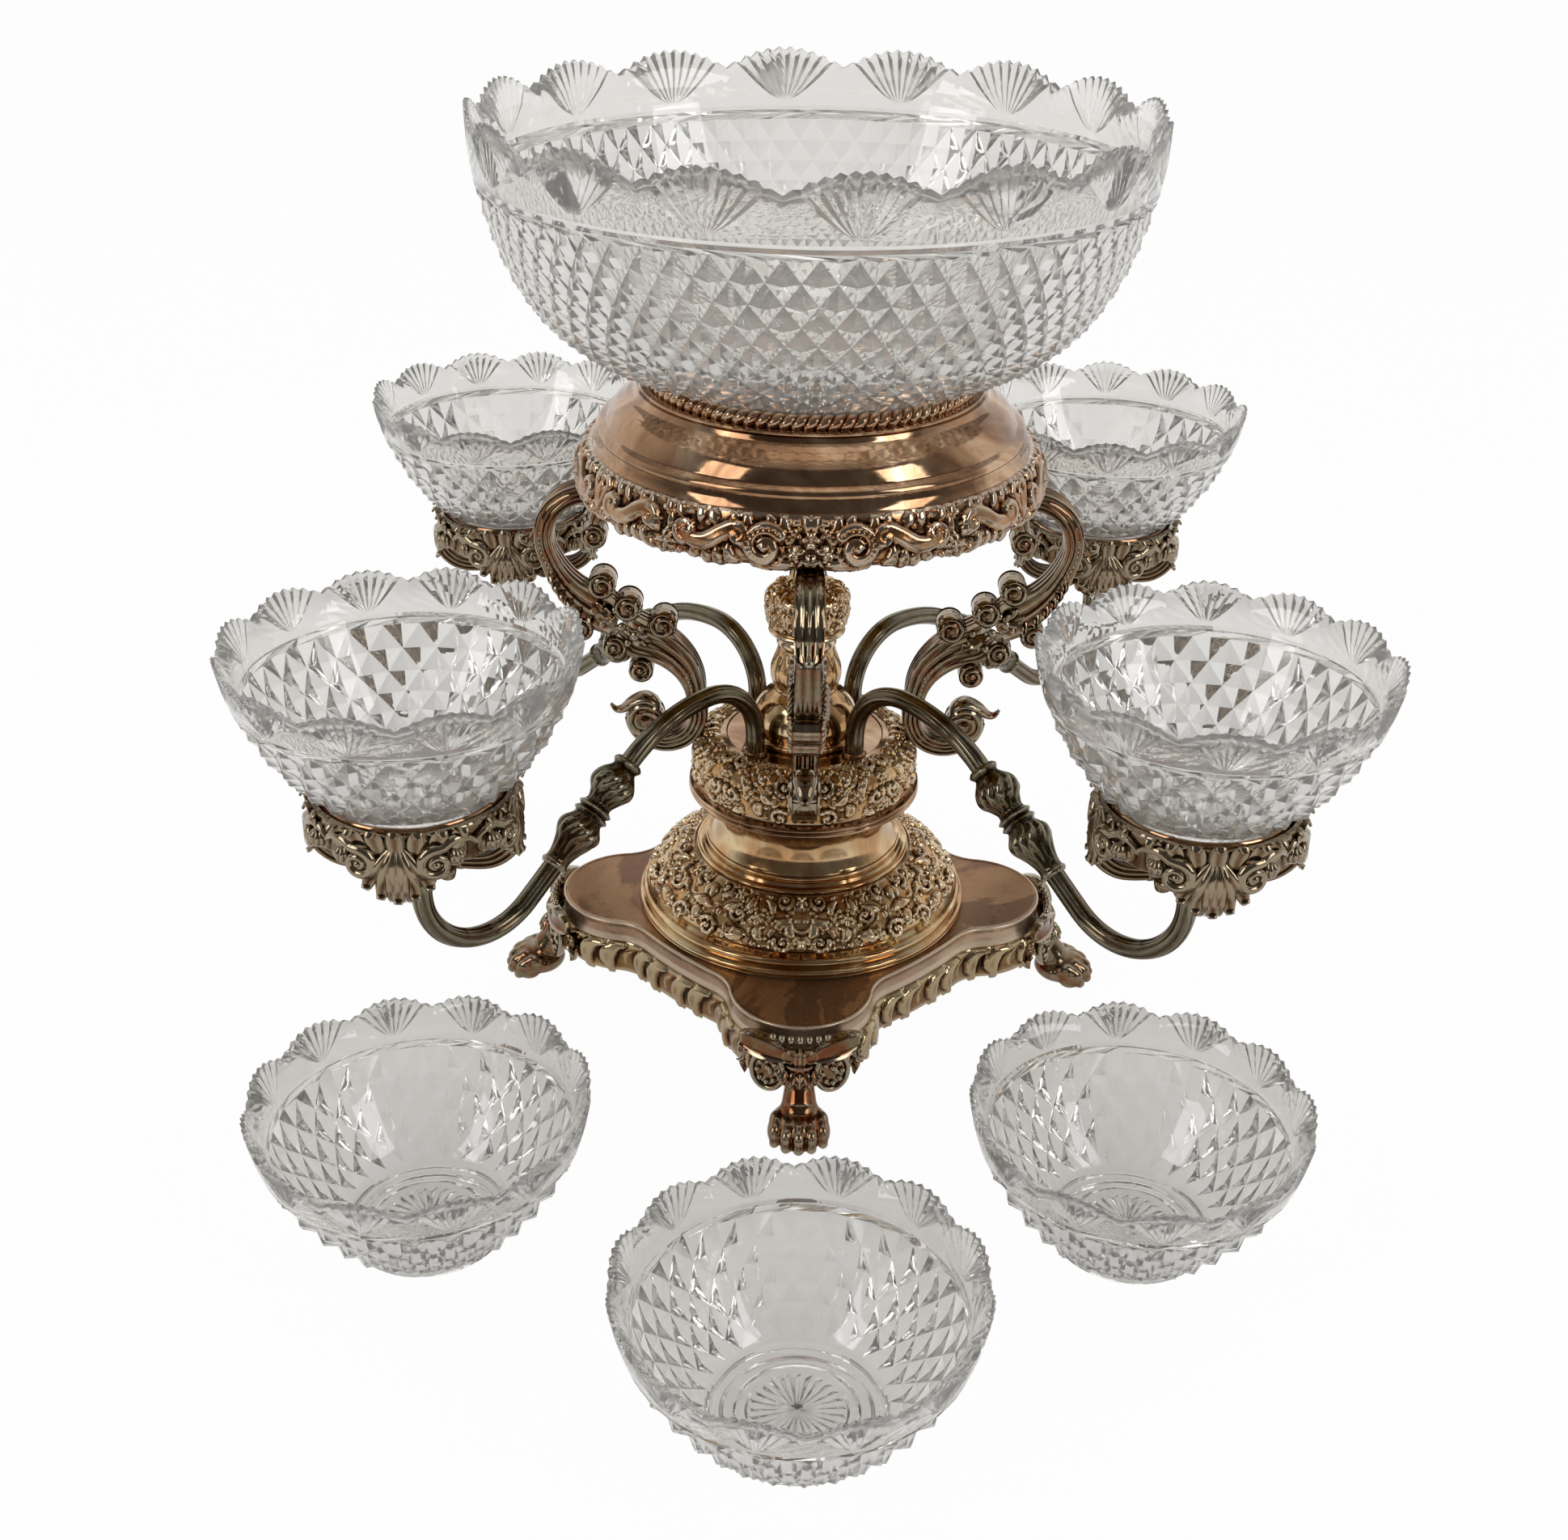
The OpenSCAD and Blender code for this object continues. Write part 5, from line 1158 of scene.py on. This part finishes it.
def meltedShell(shells, voxel, smooth):
    body = bpy.data.objects.new("melt", meshFrom("melt", shells))
    scene.collection.objects.link(body)
    remesh = body.modifiers.new("remesh", "REMESH")
    remesh.mode = "VOXEL"
    remesh.voxel_size = voxel * mm
    soften = body.modifiers.new("soften", "SMOOTH")
    soften.factor = 0.5
    soften.iterations = smooth
    graph = bpy.context.evaluated_depsgraph_get()
    mesh = bpy.data.meshes.new_from_object(body.evaluated_get(graph), depsgraph=graph)
    points = np.empty(len(mesh.vertices) * 3)
    mesh.vertices.foreach_get("co", points)
    faces = [np.array([p.vertices[:] for p in mesh.polygons if len(p.vertices) == n], int).reshape(-1, n)
             for n in (3, 4)]
    bpy.data.objects.remove(body)
    return points.reshape(-1, 3) / mm, [f for f in faces if len(f)]


def onLobe(along, height, proud):
    reach = plinth["lobe"] + proud
    turn = along / reach
    return np.array([plinth["lobeAt"] + reach * math.cos(turn), reach * math.sin(turn), height])


def outwardAt(along, tilt):
    turn = along / (plinth["lobe"] + paw["mount"])
    out = unitRows(np.array([[math.cos(turn), math.sin(turn), tilt]]))[0]
    right = unitRows(np.cross((0, 0, 1), out)[None])[0]
    return np.stack([right, np.cross(out, right), out], -1)


# A dished wing with a raised rim, laid along the lobe.
def wingShell(hand):
    line = evenly(throughPoints([(3.2, 33.4, 1.6), (8, 35.4, 4.2), (14, 36.8, 5.6), (21, 37.4, 5.4), (27, 37.0, 3.4)],
                                8), 46)
    x = np.linspace(-1, 1, 17)
    rise = np.interp(np.abs(x), [0, 0.5, 0.7, 0.84, 0.94, 1], [0.3, 0.6, 1.0, 2.3, 2.0, 0.2])
    swell = np.sin(math.pi * np.clip(np.linspace(0.04, 0.97, len(line)), 0, 1)) ** 0.5
    front = np.stack([line[:, 2:3] * x[None], rise[None] * (0.5 + 0.5 * swell[:, None])], -1)
    back = np.stack([line[:, 2:3] * x[None] * 0.96, np.full((len(line), len(x)), -2.4)], -1)[:, ::-1]
    path = np.array([onLobe(hand * s, z, paw["mount"] + 2.0) for s, z, _ in line])
    return sweptShell(path, np.concatenate([front, back], 1), (0, 0, hand))


def footParts():
    at = paw["at"]
    lumps = [((at - 0.6, 0, 6.4), (11.8, 12.2, 6.6)), ((at - 4.0, 0, 10.4), (7.8, 8.2, 5.6))]
    for y, x, r in ((-10.0, 3.6, 3.3), (-5.2, 7.2, 3.5), (0, 8.4, 3.6), (5.2, 7.2, 3.5), (10.0, 3.6, 3.3)):
        lumps += [((at + x, y, 5.2), (5.8, r * 0.92, 5.2)), ((at + x - 2.8, y * 0.94, 7.8), (5.4, r * 0.9, 4.2)),
                  ((at + x + 4.4, y, 2.6), (2.4, r * 0.66, 2.5))]
    shells = [shifted(ellipsoidShell(28, 17, radii), centre) for centre, radii in lumps]
    leg = throughPoints([(at - 5, 0, 12), (at - 8.5, 0, 18), (at - 11, 0, 24), (at - 12, 0, 29)], 6)
    girth = spread([7.6, 6.3, 6.4, 7.0], len(leg))
    shells.append(sweptShell(leg, ovalRows(girth, girth, around(24)), (0, 1, 0)))
    melted = meltedShell(shells, paw["voxel"], paw["soften"])
    parts = [(np.maximum(melted[0], np.array([-999, -999, 0.02])), melted[1])]
    root, drop, reach, width = paw["ankle"]
    lean = np.array([at - 22 + (30 - root) * 0.5, 0, 0])
    for k in range(9):
        turn = math.radians(-104 + 26 * k)
        out = np.array([math.cos(turn) * 0.8, math.sin(turn), 0.0])
        top, tip = lean + (10, 0, root) + out * reach, lean + (12.4, 0, root - drop) + out * (reach + 1.0)
        parts.append(leafShell([top, (top + tip) / 2 + out * 0.7, tip], width, np.cross(out, (0, 0, 1)), 1, -0.2, 1.1,
                               18, 9, 0.5))
    for hand in (-1, 1):
        parts.append(wingShell(hand))
        under = [onLobe(hand * s, z, p)
                 for s, z, p in ((22.5, 31.5, 3.0), (26, 29, 3.4), (26.6, 24, 3.2), (24.6, 18.6, 2.6))]
        parts.append(leafShell(under, 2.8, (0, 0, hand), 3, 0.2, 1.6, 34, 11, 0.7))
    parts.append(leafShell([onLobe(0, 38, 4.4), onLobe(0, 33, 6.0), onLobe(0, 27.4, 4.6)], 2.4, (0, -1, 0), 1, -0.2,
                           2.0, 26, 11, 0.5))
    bar = np.array([onLobe(s, 22.8, paw["mount"] + 1.4) for s in np.linspace(-7.4, 7.4, 25)])
    parts.append(sweptShell(bar, reededSection(4.4, 5.6, (3, 1), 0.7)[::-1], (0, 0, 1)))
    roundels, beads, eyes = [], [], []
    s, z, wide, tall = paw["roundel"]
    for hand in (-1, 1):
        basis = outwardAt(hand * s, 0.12)
        spot = onLobe(hand * s, z, paw["mount"] + 0.8)
        roundels.append((spot, eulerOf(basis), (wide / 7.5, tall / 7.5, 1)))
        for k in range(11):
            a = tau * k / 8
            reach = 0.56 if k < 8 else 0.2
            lean = (reach * wide * math.cos(a), reach * tall * math.sin(a), 1.2)
            beads.append((spot + basis @ np.array(lean), (0, 0, 0), (1.25, 1.25, 1.25)))
        eyes.append((onLobe(hand * 3.9, 34.2, paw["mount"] + 1.4), eulerOf(outwardAt(hand * 3.9, 0.0)),
                     (0.56 * hand, 0.56, 0.2)))
    for s in np.linspace(-11.4, 11.4, 7):
        beads.append((onLobe(s, 41.6, paw["mount"] + 0.6), (0, 0, 0), (1.7, 1.7, 1.9)))
    ringLine = ([(0.3, -1.4), (7.0, -1.4), (7.5, -0.6)] + roll(6.8, 0.6, 1.1, -30, 190, 9)
                + [(5.2, 0.5), (0.3, 0.6)])
    return parts, [(turnedShell(ringLine, 48, closed=False), roundels), (ellipsoidShell(12, 7), beads),
                   (voluteShell(6.0, 6.0, 2.0), eyes)]


footShells, footRepeats = footParts()
for corner, angle in cornerAngles.items():
    makePiece("foot_" + corner, "stand", scrollPlate, footShells, footRepeats, turn=angle)
print("feet made")

# Branches: reeded tubes with baluster knops, each on its own diagonal.
branch = {"top": 161.5, "rise": 27.0, "fall": 70.0, "slope": 38.0, "bend": 30.0, "tube": 4.1,
          "reeds": 8, "groove": 0.45, "knop": 9.5, "knopLength": 52.4, "low": 128.0}
slope = math.radians(branch["slope"])
riseAt = (socketReach + branch["rise"], branch["top"] - branch["rise"])
fallAt = (riseAt[0], branch["top"] - branch["fall"])
runStart = np.array([fallAt[0] + branch["fall"] * math.sin(slope), fallAt[1] + branch["fall"] * math.cos(slope)])
runEndX = holder["reach"] - branch["bend"] * (1 + math.sin(slope))
runEnd = np.array([runEndX, runStart[1] - (runEndX - runStart[0]) * math.tan(slope)])
bendAt = (holder["reach"] - branch["bend"], runEnd[1] + branch["bend"] * math.cos(slope))
branchLine = np.vstack([
    [(socketReach, branch["low"])], arcPoints(riseAt, branch["rise"], 180, 92, 30),
    arcPoints(fallAt, branch["fall"], 90, 90 - branch["slope"], 24),
    arcPoints(bendAt, branch["bend"], 270 - branch["slope"], 360, 40), [(holder["reach"], holder["low"] - 0.1)]])


def branchShells():
    line = evenly(branchLine, 160)
    angle = around(48)
    radius = branch["tube"] - branch["groove"] * (1 - np.abs(np.cos(branch["reeds"] / 2 * angle)))
    ring = np.stack([radius * np.cos(angle), radius * np.sin(angle)], -1)
    tube = sweptShell(upright(line), ring, (0, 1, 0))
    peg = [(2.4, 108.1), (2.95, 108.8), (2.95, 128.6), (2.0, 129.0)]
    return [tube, shifted(turnedShell(peg, 32, closed=False), (socketReach, 0, 0))]


def knopShells():
    r, scale = branch["knop"], branch["knopLength"] / 52
    line = np.array([(0, 0.56), (1.5, 0.68), (3.5, 0.55), (5, 0.63), (8, 0.86), (11, 0.96), (14, 0.93), (17, 0.72),
                     (20, 0.58), (22, 0.62), (23.5, 0.79), (25, 0.66), (26.5, 0.81), (28, 0.66), (30, 0.74), (33, 0.92),
                     (35.5, 0.94), (38, 0.85), (42, 0.65), (46, 0.54), (49, 0.53), (50.5, 0.62), (52, 0.53)])
    profile = evenly(throughPoints(np.column_stack([line[:, 1] * r, line[:, 0] * scale]), 8), 84)
    along = profile[:, 1] / scale
    columns = 110
    theta = around(columns)[:, None]
    lower = np.exp(-((along - 12.5) / 4.5) ** 2) + np.exp(-((along - 34) / 4.2) ** 2)
    waist = np.exp(-((along - 18.5) / 2.5) ** 2) + np.exp(-((along - 42) / 4.0) ** 2)
    swirl = np.abs(np.cos(5.5 * theta + 0.28 * along[None])) - 0.6
    flute = np.abs(np.cos(5 * theta)) - 0.6
    raised = swirl * lower[None] * 1.2 + flute * waist[None] * 0.7
    shell = turnedShell(profile, columns, raised, closed=False)
    basis = np.stack([(math.sin(slope), 0, math.cos(slope)), (0, 1, 0), (math.cos(slope), 0, -math.sin(slope))], -1)
    return [moved(shell, basis, (runStart[0], 0, runStart[1]))]


def calyxShells():
    z, tube = holder["low"], branch["tube"]
    outer = throughPoints([(tube + 1.8, z + 1.6), (8.6, z + 3.8), (12.4, z + 7.6), (15.2, z + 10.4), (16.8, z + 10.6),
                           (17.5, z + 8.8), (17.2, z + 6.6)], 8)
    inner = throughPoints([(16.0, z + 6.8), (15.9, z + 8.6), (14.8, z + 9.0), (12, z + 8.4), (8, z + 7.4),
                           (1.0, z + 7.0)], 6)
    profile = np.vstack([[(0.6, z), (tube + 1.2, z), (tube + 1.8, z + 0.8)], outer, inner])
    fingers = 11
    count = fingers * 12
    theta = around(count)[:, None]
    edge = np.concatenate([np.zeros(3), np.linspace(0, 1, len(outer)), np.linspace(1, 0, len(inner))])[None]
    frill = np.abs(np.cos(fingers / 2 * theta)) ** 0.6
    points, faces = turnedShell(profile, count, closed=False)
    grid = points[:-2].reshape(count, len(profile), 3)
    share = edge ** 1.2
    radial = np.stack([np.cos(theta), np.sin(theta), np.zeros_like(theta)], -1)
    grid = grid + (share * (frill - 0.9) * 3.0)[..., None] * radial
    grid[..., 2] += np.clip(edge - 0.7, 0, 1) / 0.3 * (1 - frill) * 2.4
    points[:-2] = grid.reshape(-1, 3)
    return [shifted((points, faces), (holder["reach"], 0, 0))]


# Leaf wreath under each bowl: four clusters of scrolls and acanthus, joined by leaves along the ring.
wreath = {"arc": 36.0, "columns": 320, "rows": 34, "limit": 40.5, "thick": 1.7, "volute": (13.2, -2.4, 5.7),
          "profile": [(-16, 36.8), (-12, 35.8), (-7, 34.9), (-2, 34.8), (3, 35.0), (8, 36.2), (12.5, 37.6)]}


def wreathField(U, V):
    parts = [leafField(U, V, root, tip, bend, width, 1.5) for root, tip, bend, width in (
        ((0, 4), (0, 12.4), 0.0, 3.4), ((2.4, 3), (8.4, 11.4), 0.16, 3.2), ((13, 1), (16, 10.4), 0.2, 3.4),
        ((20, 1), (22.6, 10), 0.16, 3.2), ((28.3, 0.6), (28.3, 10.6), 0.0, 3.4), ((4, 2), (13, -6), -0.2, 3.2))]
    return np.max(parts, 0)


def wreathShell():
    columns, rows = wreath["columns"], wreath["rows"]
    angle = around(columns)
    fromCluster = angle % (tau / 4) - tau / 8
    U = np.abs(fromCluster)[:, None] * wreath["arc"]
    near = 0.5 + 0.5 * np.cos(4 * fromCluster)
    low = 0.6 - 7.0 * near + 0.5 * np.abs(np.sin(math.pi * U[:, 0] / 6.2))
    high = 8.4 + 1.6 * near ** 0.6
    w = np.linspace(0, 1, rows)[None]
    V = low[:, None] + (high - low)[:, None] * w
    field = wreathField(np.broadcast_to(U, V.shape), V)
    edge = np.clip(np.minimum(w, 1 - w) / 0.06, 0, 1) ** 0.5
    base = np.interp(V, *zip(*wreath["profile"]))
    radius = np.minimum(base + field * (0.3 + 0.7 * edge), wreath["limit"])
    back = np.maximum(base - wreath["thick"], 34.0)[:, ::-1]
    lift = np.concatenate([V, V[:, ::-1]], 1) + holder["ring"]
    reach = np.concatenate([radius, back], 1)
    return gridShell(polar(reach, angle[:, None], lift), closeU=True, closeV=True)


def onHolder(along, height, out):
    turn = along / wreath["arc"]
    return np.array([out * math.cos(turn), out * math.sin(turn), holder["ring"] + height])


# A plump leaf finger, grooved down its middle.
def fingerShell(spine, width, depth, side):
    rows, angle = 18, around(16)
    groove = 1 - 0.4 * np.exp(-(np.cos(angle) / 0.34) ** 2) * (np.sin(angle) > 0)
    section = ovalRows(spread(width, rows), spread(depth, rows), angle)
    section[..., 1] *= groove
    return sweptShell(evenly(throughPoints(spine, 8), rows), section, side)


# A stem that runs along the ring and rolls up into a volute.
def stemShell(hand):
    along, height, size = wreath["volute"]
    share = np.linspace(0, 1, 40)
    turn = np.radians(90 + 540 * share)
    r = size * (1 - 0.8 * share)
    flat = np.vstack([throughPoints([(29, 1.6), (25, 5.0), (20, 5.8), (along + 2.6, height + size + 0.3)], 6),
                      np.column_stack([along + r * np.cos(turn), height + r * np.sin(turn)])])
    rows = 64
    path = np.array([onHolder(hand * t, z, out)
                     for (t, z), out in zip(evenly(flat, rows), np.linspace(37.0, 38.7, rows))])
    girth = spread([0.9, 2.1, 2.6, 2.4, 2.1, 1.6, 1.1], rows)
    return sweptShell(path, ovalRows(girth, girth * 0.9, around(12)), path * np.array([1, 1, 0]))


def cradleParts():
    z, offset = holder["low"], np.array([holder["reach"], 0, 0])
    hub = throughPoints([(1, z + 7.1), (6.4, z + 7.1), (6.8, z + 10), (9, z + 13), (5, z + 16), (1, z + 16)], 6)
    shells = [turnedShell(hub, 48, closed=False), moved(wreathShell(), aboutZ(45))]
    balls, melons = [], []
    along, height = wreath["volute"][:2]
    for k in range(4):
        turn = aboutZ(45 + 90 * k)
        loop = throughPoints([(4, z + 11.0, 5), (14, z + 10.4, 5.6), (27, z + 10.8, 6.2), (35.0, z + 16.4, 6.2),
                              (36.8, z + 23.6, 5.4), (35.0, holder["ring"] + 1, 4)], 10)
        cluster = [strapShell(loop, 8.8, (3, 3), 0.45, 40), stemShell(1), stemShell(-1)]
        for t, drop in ((0, 16.6), (-5.6, 15.0), (5.6, 15.0), (-10.6, 11.6), (10.6, 11.6)):
            cluster.append(fingerShell([onHolder(t * 0.2, 3, 36.2), onHolder(t * 0.55, -drop * 0.3, 38.0),
                                        onHolder(t * 0.9, -drop * 0.7, 37.6), onHolder(t, -drop * 0.95, 38.7),
                                        onHolder(t * 1.02, -drop, 39.7)], [1.6, 2.8, 3.2, 2.9, 1.6],
                                       [1.3, 1.9, 1.9, 1.6, 0.8], (0, 1, 0)))
        for t, top in ((0, 11.6), (-7.6, 11.2), (7.6, 11.2), (-15.4, 10.4), (15.4, 10.4), (-22.6, 9.8), (22.6, 9.8)):
            cluster.append(fingerShell([onHolder(t * 0.8, 0, 35.6), onHolder(t * 0.9, 4.6, 36.4),
                                        onHolder(t, top - 1.4, 37.9), onHolder(t * 1.02, top - 0.2, 39.2),
                                        onHolder(t * 1.02, top - 1.6, 39.9)], [2.4, 3.4, 3.6, 2.8, 1.2],
                                       [1.2, 1.5, 1.3, 0.9, 0.6], (0, -1, 0)))
        shells += [moved(s, turn) for s in cluster]
        for hand in (-1, 1):
            balls.append((turn @ onHolder(hand * along, height, 38.7), (0, 0, 0), (1.6, 1.6, 1.6)))
            melons.append((turn @ onHolder(hand * 20.4, -1.2, 36.2), (0, 0, 0), (4.1, 4.1, 3.9)))
    flesh, seams = ellipsoidShell(40, 11)
    ribs = 0.86 + 0.14 * np.abs(np.cos(5 * np.arctan2(flesh[:, 1], flesh[:, 0])))
    melon = flesh * np.column_stack([ribs, ribs, np.ones(len(flesh))]), seams
    return ([shifted(s, offset) for s in shells],
            [(shape, [(p + offset, a, g) for p, a, g in places])
             for shape, places in ((ellipsoidShell(14, 9), balls), (melon, melons))])


ringProfile = [(26.8, 164.6), (33.6, 164.6), (33.85, 165.2), (33.4, 166.4), (33.85, 167.6), (33.85, 173.4),
               (33.2, 174.4), (32.2, 174.4), (31.75, 173.9), (31.75, 169.4), (26.8, 169.4)]
ringShells = [shifted(turnedShell(ringProfile, 96), (holder["reach"], 0, 0))]
armParts = [("branch_", "spun_plate", dullPlate, branchShells(), (), (9, 0.3)),
            ("knops_", "cast_plate", dullPlate, knopShells(), (), (7, 0.35)),
            ("calyx_", "cast_plate", leafPlate, calyxShells(), (), (7, 0.35)),
            ("cradle_", "cast_plate", leafPlate, *cradleParts(), (7, 0.35)),
            ("ring_", "spun_plate", spunPlate, ringShells, (), (7, 0.35))]
for arm, angle in armAngles.items():
    for label, slotName, finish, shells, repeats, worn in armParts:
        makePiece(label + arm, "arm_" + arm, finish, shells, repeats, worn=worn, turn=angle)
print("arms made")

# Pale floor that reads white and keeps a soft shadow; seen through the glass its glow dims towards the middle, painted
# shade around the stand and under the bowls.
paper = {"half": 4, "drop": 0.0003, "colour": "#f4f4f4", "mirrored": (0.1, 0.75, 0.48, 0.88),
         "throughGlass": (0.1, 0.6, 0.82, 1.0), "direct": 0.97}


def paperFinish():
    material, tree = newMaterial("paper_sweep_white")
    ray = addNode(tree, "ShaderNodeLightPath").outputs
    place = addNode(tree, "ShaderNodeTexCoord").outputs["Object"]
    far = addNode(tree, "ShaderNodeVectorMath", {"operation": "LENGTH"}, {0: place}).outputs["Value"]
    share = reckoned(tree, "MULTIPLY", reckoned(tree, "MAXIMUM", ray["Is Glossy Ray"], ray["Is Transmission Ray"]),
                     ranged(tree, far, *paper["mirrored"], "SMOOTHSTEP"))
    share = reckoned(tree, "MAXIMUM", share, reckoned(tree, "MULTIPLY", ray["Is Camera Ray"], paper["direct"]))
    # Through the glass the floor glows less near the middle: painted shade under the stand and bowls.
    glowDimmedByPaintedShade = eitherValue(tree, ray["Is Transmission Ray"], 1.0, ranged(tree, far, *paper["throughGlass"], "SMOOTHSTEP"))
    matt = addNode(tree, "ShaderNodeBsdfDiffuse", inputs={"Color": hexColour(paper["colour"])})
    white = addNode(tree, "ShaderNodeEmission", inputs={"Color": (1, 1, 1, 1), "Strength": glowDimmedByPaintedShade})
    blend = addNode(tree, "ShaderNodeMixShader", inputs={0: share, 1: matt.outputs[0], 2: white.outputs[0]})
    addNode(tree, "ShaderNodeOutputMaterial", inputs={0: blend.outputs[0]})
    return material


floorCorners = [(x * paper["half"], y * paper["half"], -paper["drop"]) for x, y in ((-1, -1), (1, -1), (1, 1), (-1, 1))]
floorMesh = bpy.data.meshes.new("floor")
floorMesh.from_pydata(floorCorners, [], [(0, 1, 2, 3)])
floorMesh.materials.append(paperFinish())
floor = bpy.data.objects.new("floor", floorMesh)
scene.collection.objects.link(floor)

# Studio: white cove behind, dark room in front and overhead, two softboxes beside the camera.
room = {"behind": (-0.45, 0.5, 0.0, 0.9), "ceiling": (0.45, 0.9, 1.0, 0.25), "least": 0.12,
        "throughGlass": (0.4, 0.48), "direct": 1.0}
world = bpy.data.worlds.new("studio")
scene.world = world
world.use_nodes = True
worldTree = world.node_tree
worldTree.nodes.clear()
direction = addNode(worldTree, "ShaderNodeTexCoord").outputs["Generated"]
axes = addNode(worldTree, "ShaderNodeSeparateXYZ", inputs={0: direction}).outputs
ray = addNode(worldTree, "ShaderNodeLightPath").outputs
behind = ranged(worldTree, axes[1], *room["behind"], "SMOOTHSTEP")
ceiling = ranged(worldTree, axes[2], *room["ceiling"], "SMOOTHSTEP")
level = reckoned(worldTree, "MULTIPLY_ADD", behind, ceiling, room["least"])
pale = reckoned(worldTree, "MULTIPLY_ADD", ceiling, *room["throughGlass"])
level = eitherValue(worldTree, ray["Is Transmission Ray"], level, pale)
level = eitherValue(worldTree, ray["Is Camera Ray"], level, room["direct"])
backdrop = addNode(worldTree, "ShaderNodeBackground", inputs={"Color": (1, 1, 1, 1), "Strength": level})
addNode(worldTree, "ShaderNodeOutputWorld", inputs={0: backdrop.outputs[0]})

lampTarget = Vector((0, 0, 0.2))
lamps = {"softboxLeft": ((-1.6, -1.2, 1.25), (0.8, 1.5), 14), "softboxRight": ((1.65, -1.15, 1.25), (0.8, 1.5), 14),
         "topLight": ((0.0, 0.2, 1.9), (1.2, 1.2), 4)}
for label, (spot, size, power) in lamps.items():
    lampData = bpy.data.lights.new(label, "AREA")
    lampData.shape = "RECTANGLE"
    lampData.size, lampData.size_y = size
    lampData.energy = power
    lamp = bpy.data.objects.new(label, lampData)
    lamp.location = spot
    lamp.rotation_euler = (Vector(spot) - lampTarget).to_track_quat("Z", "Y").to_euler()
    scene.collection.objects.link(lamp)

scene.view_settings.view_transform = "Standard"
print("scene ready")
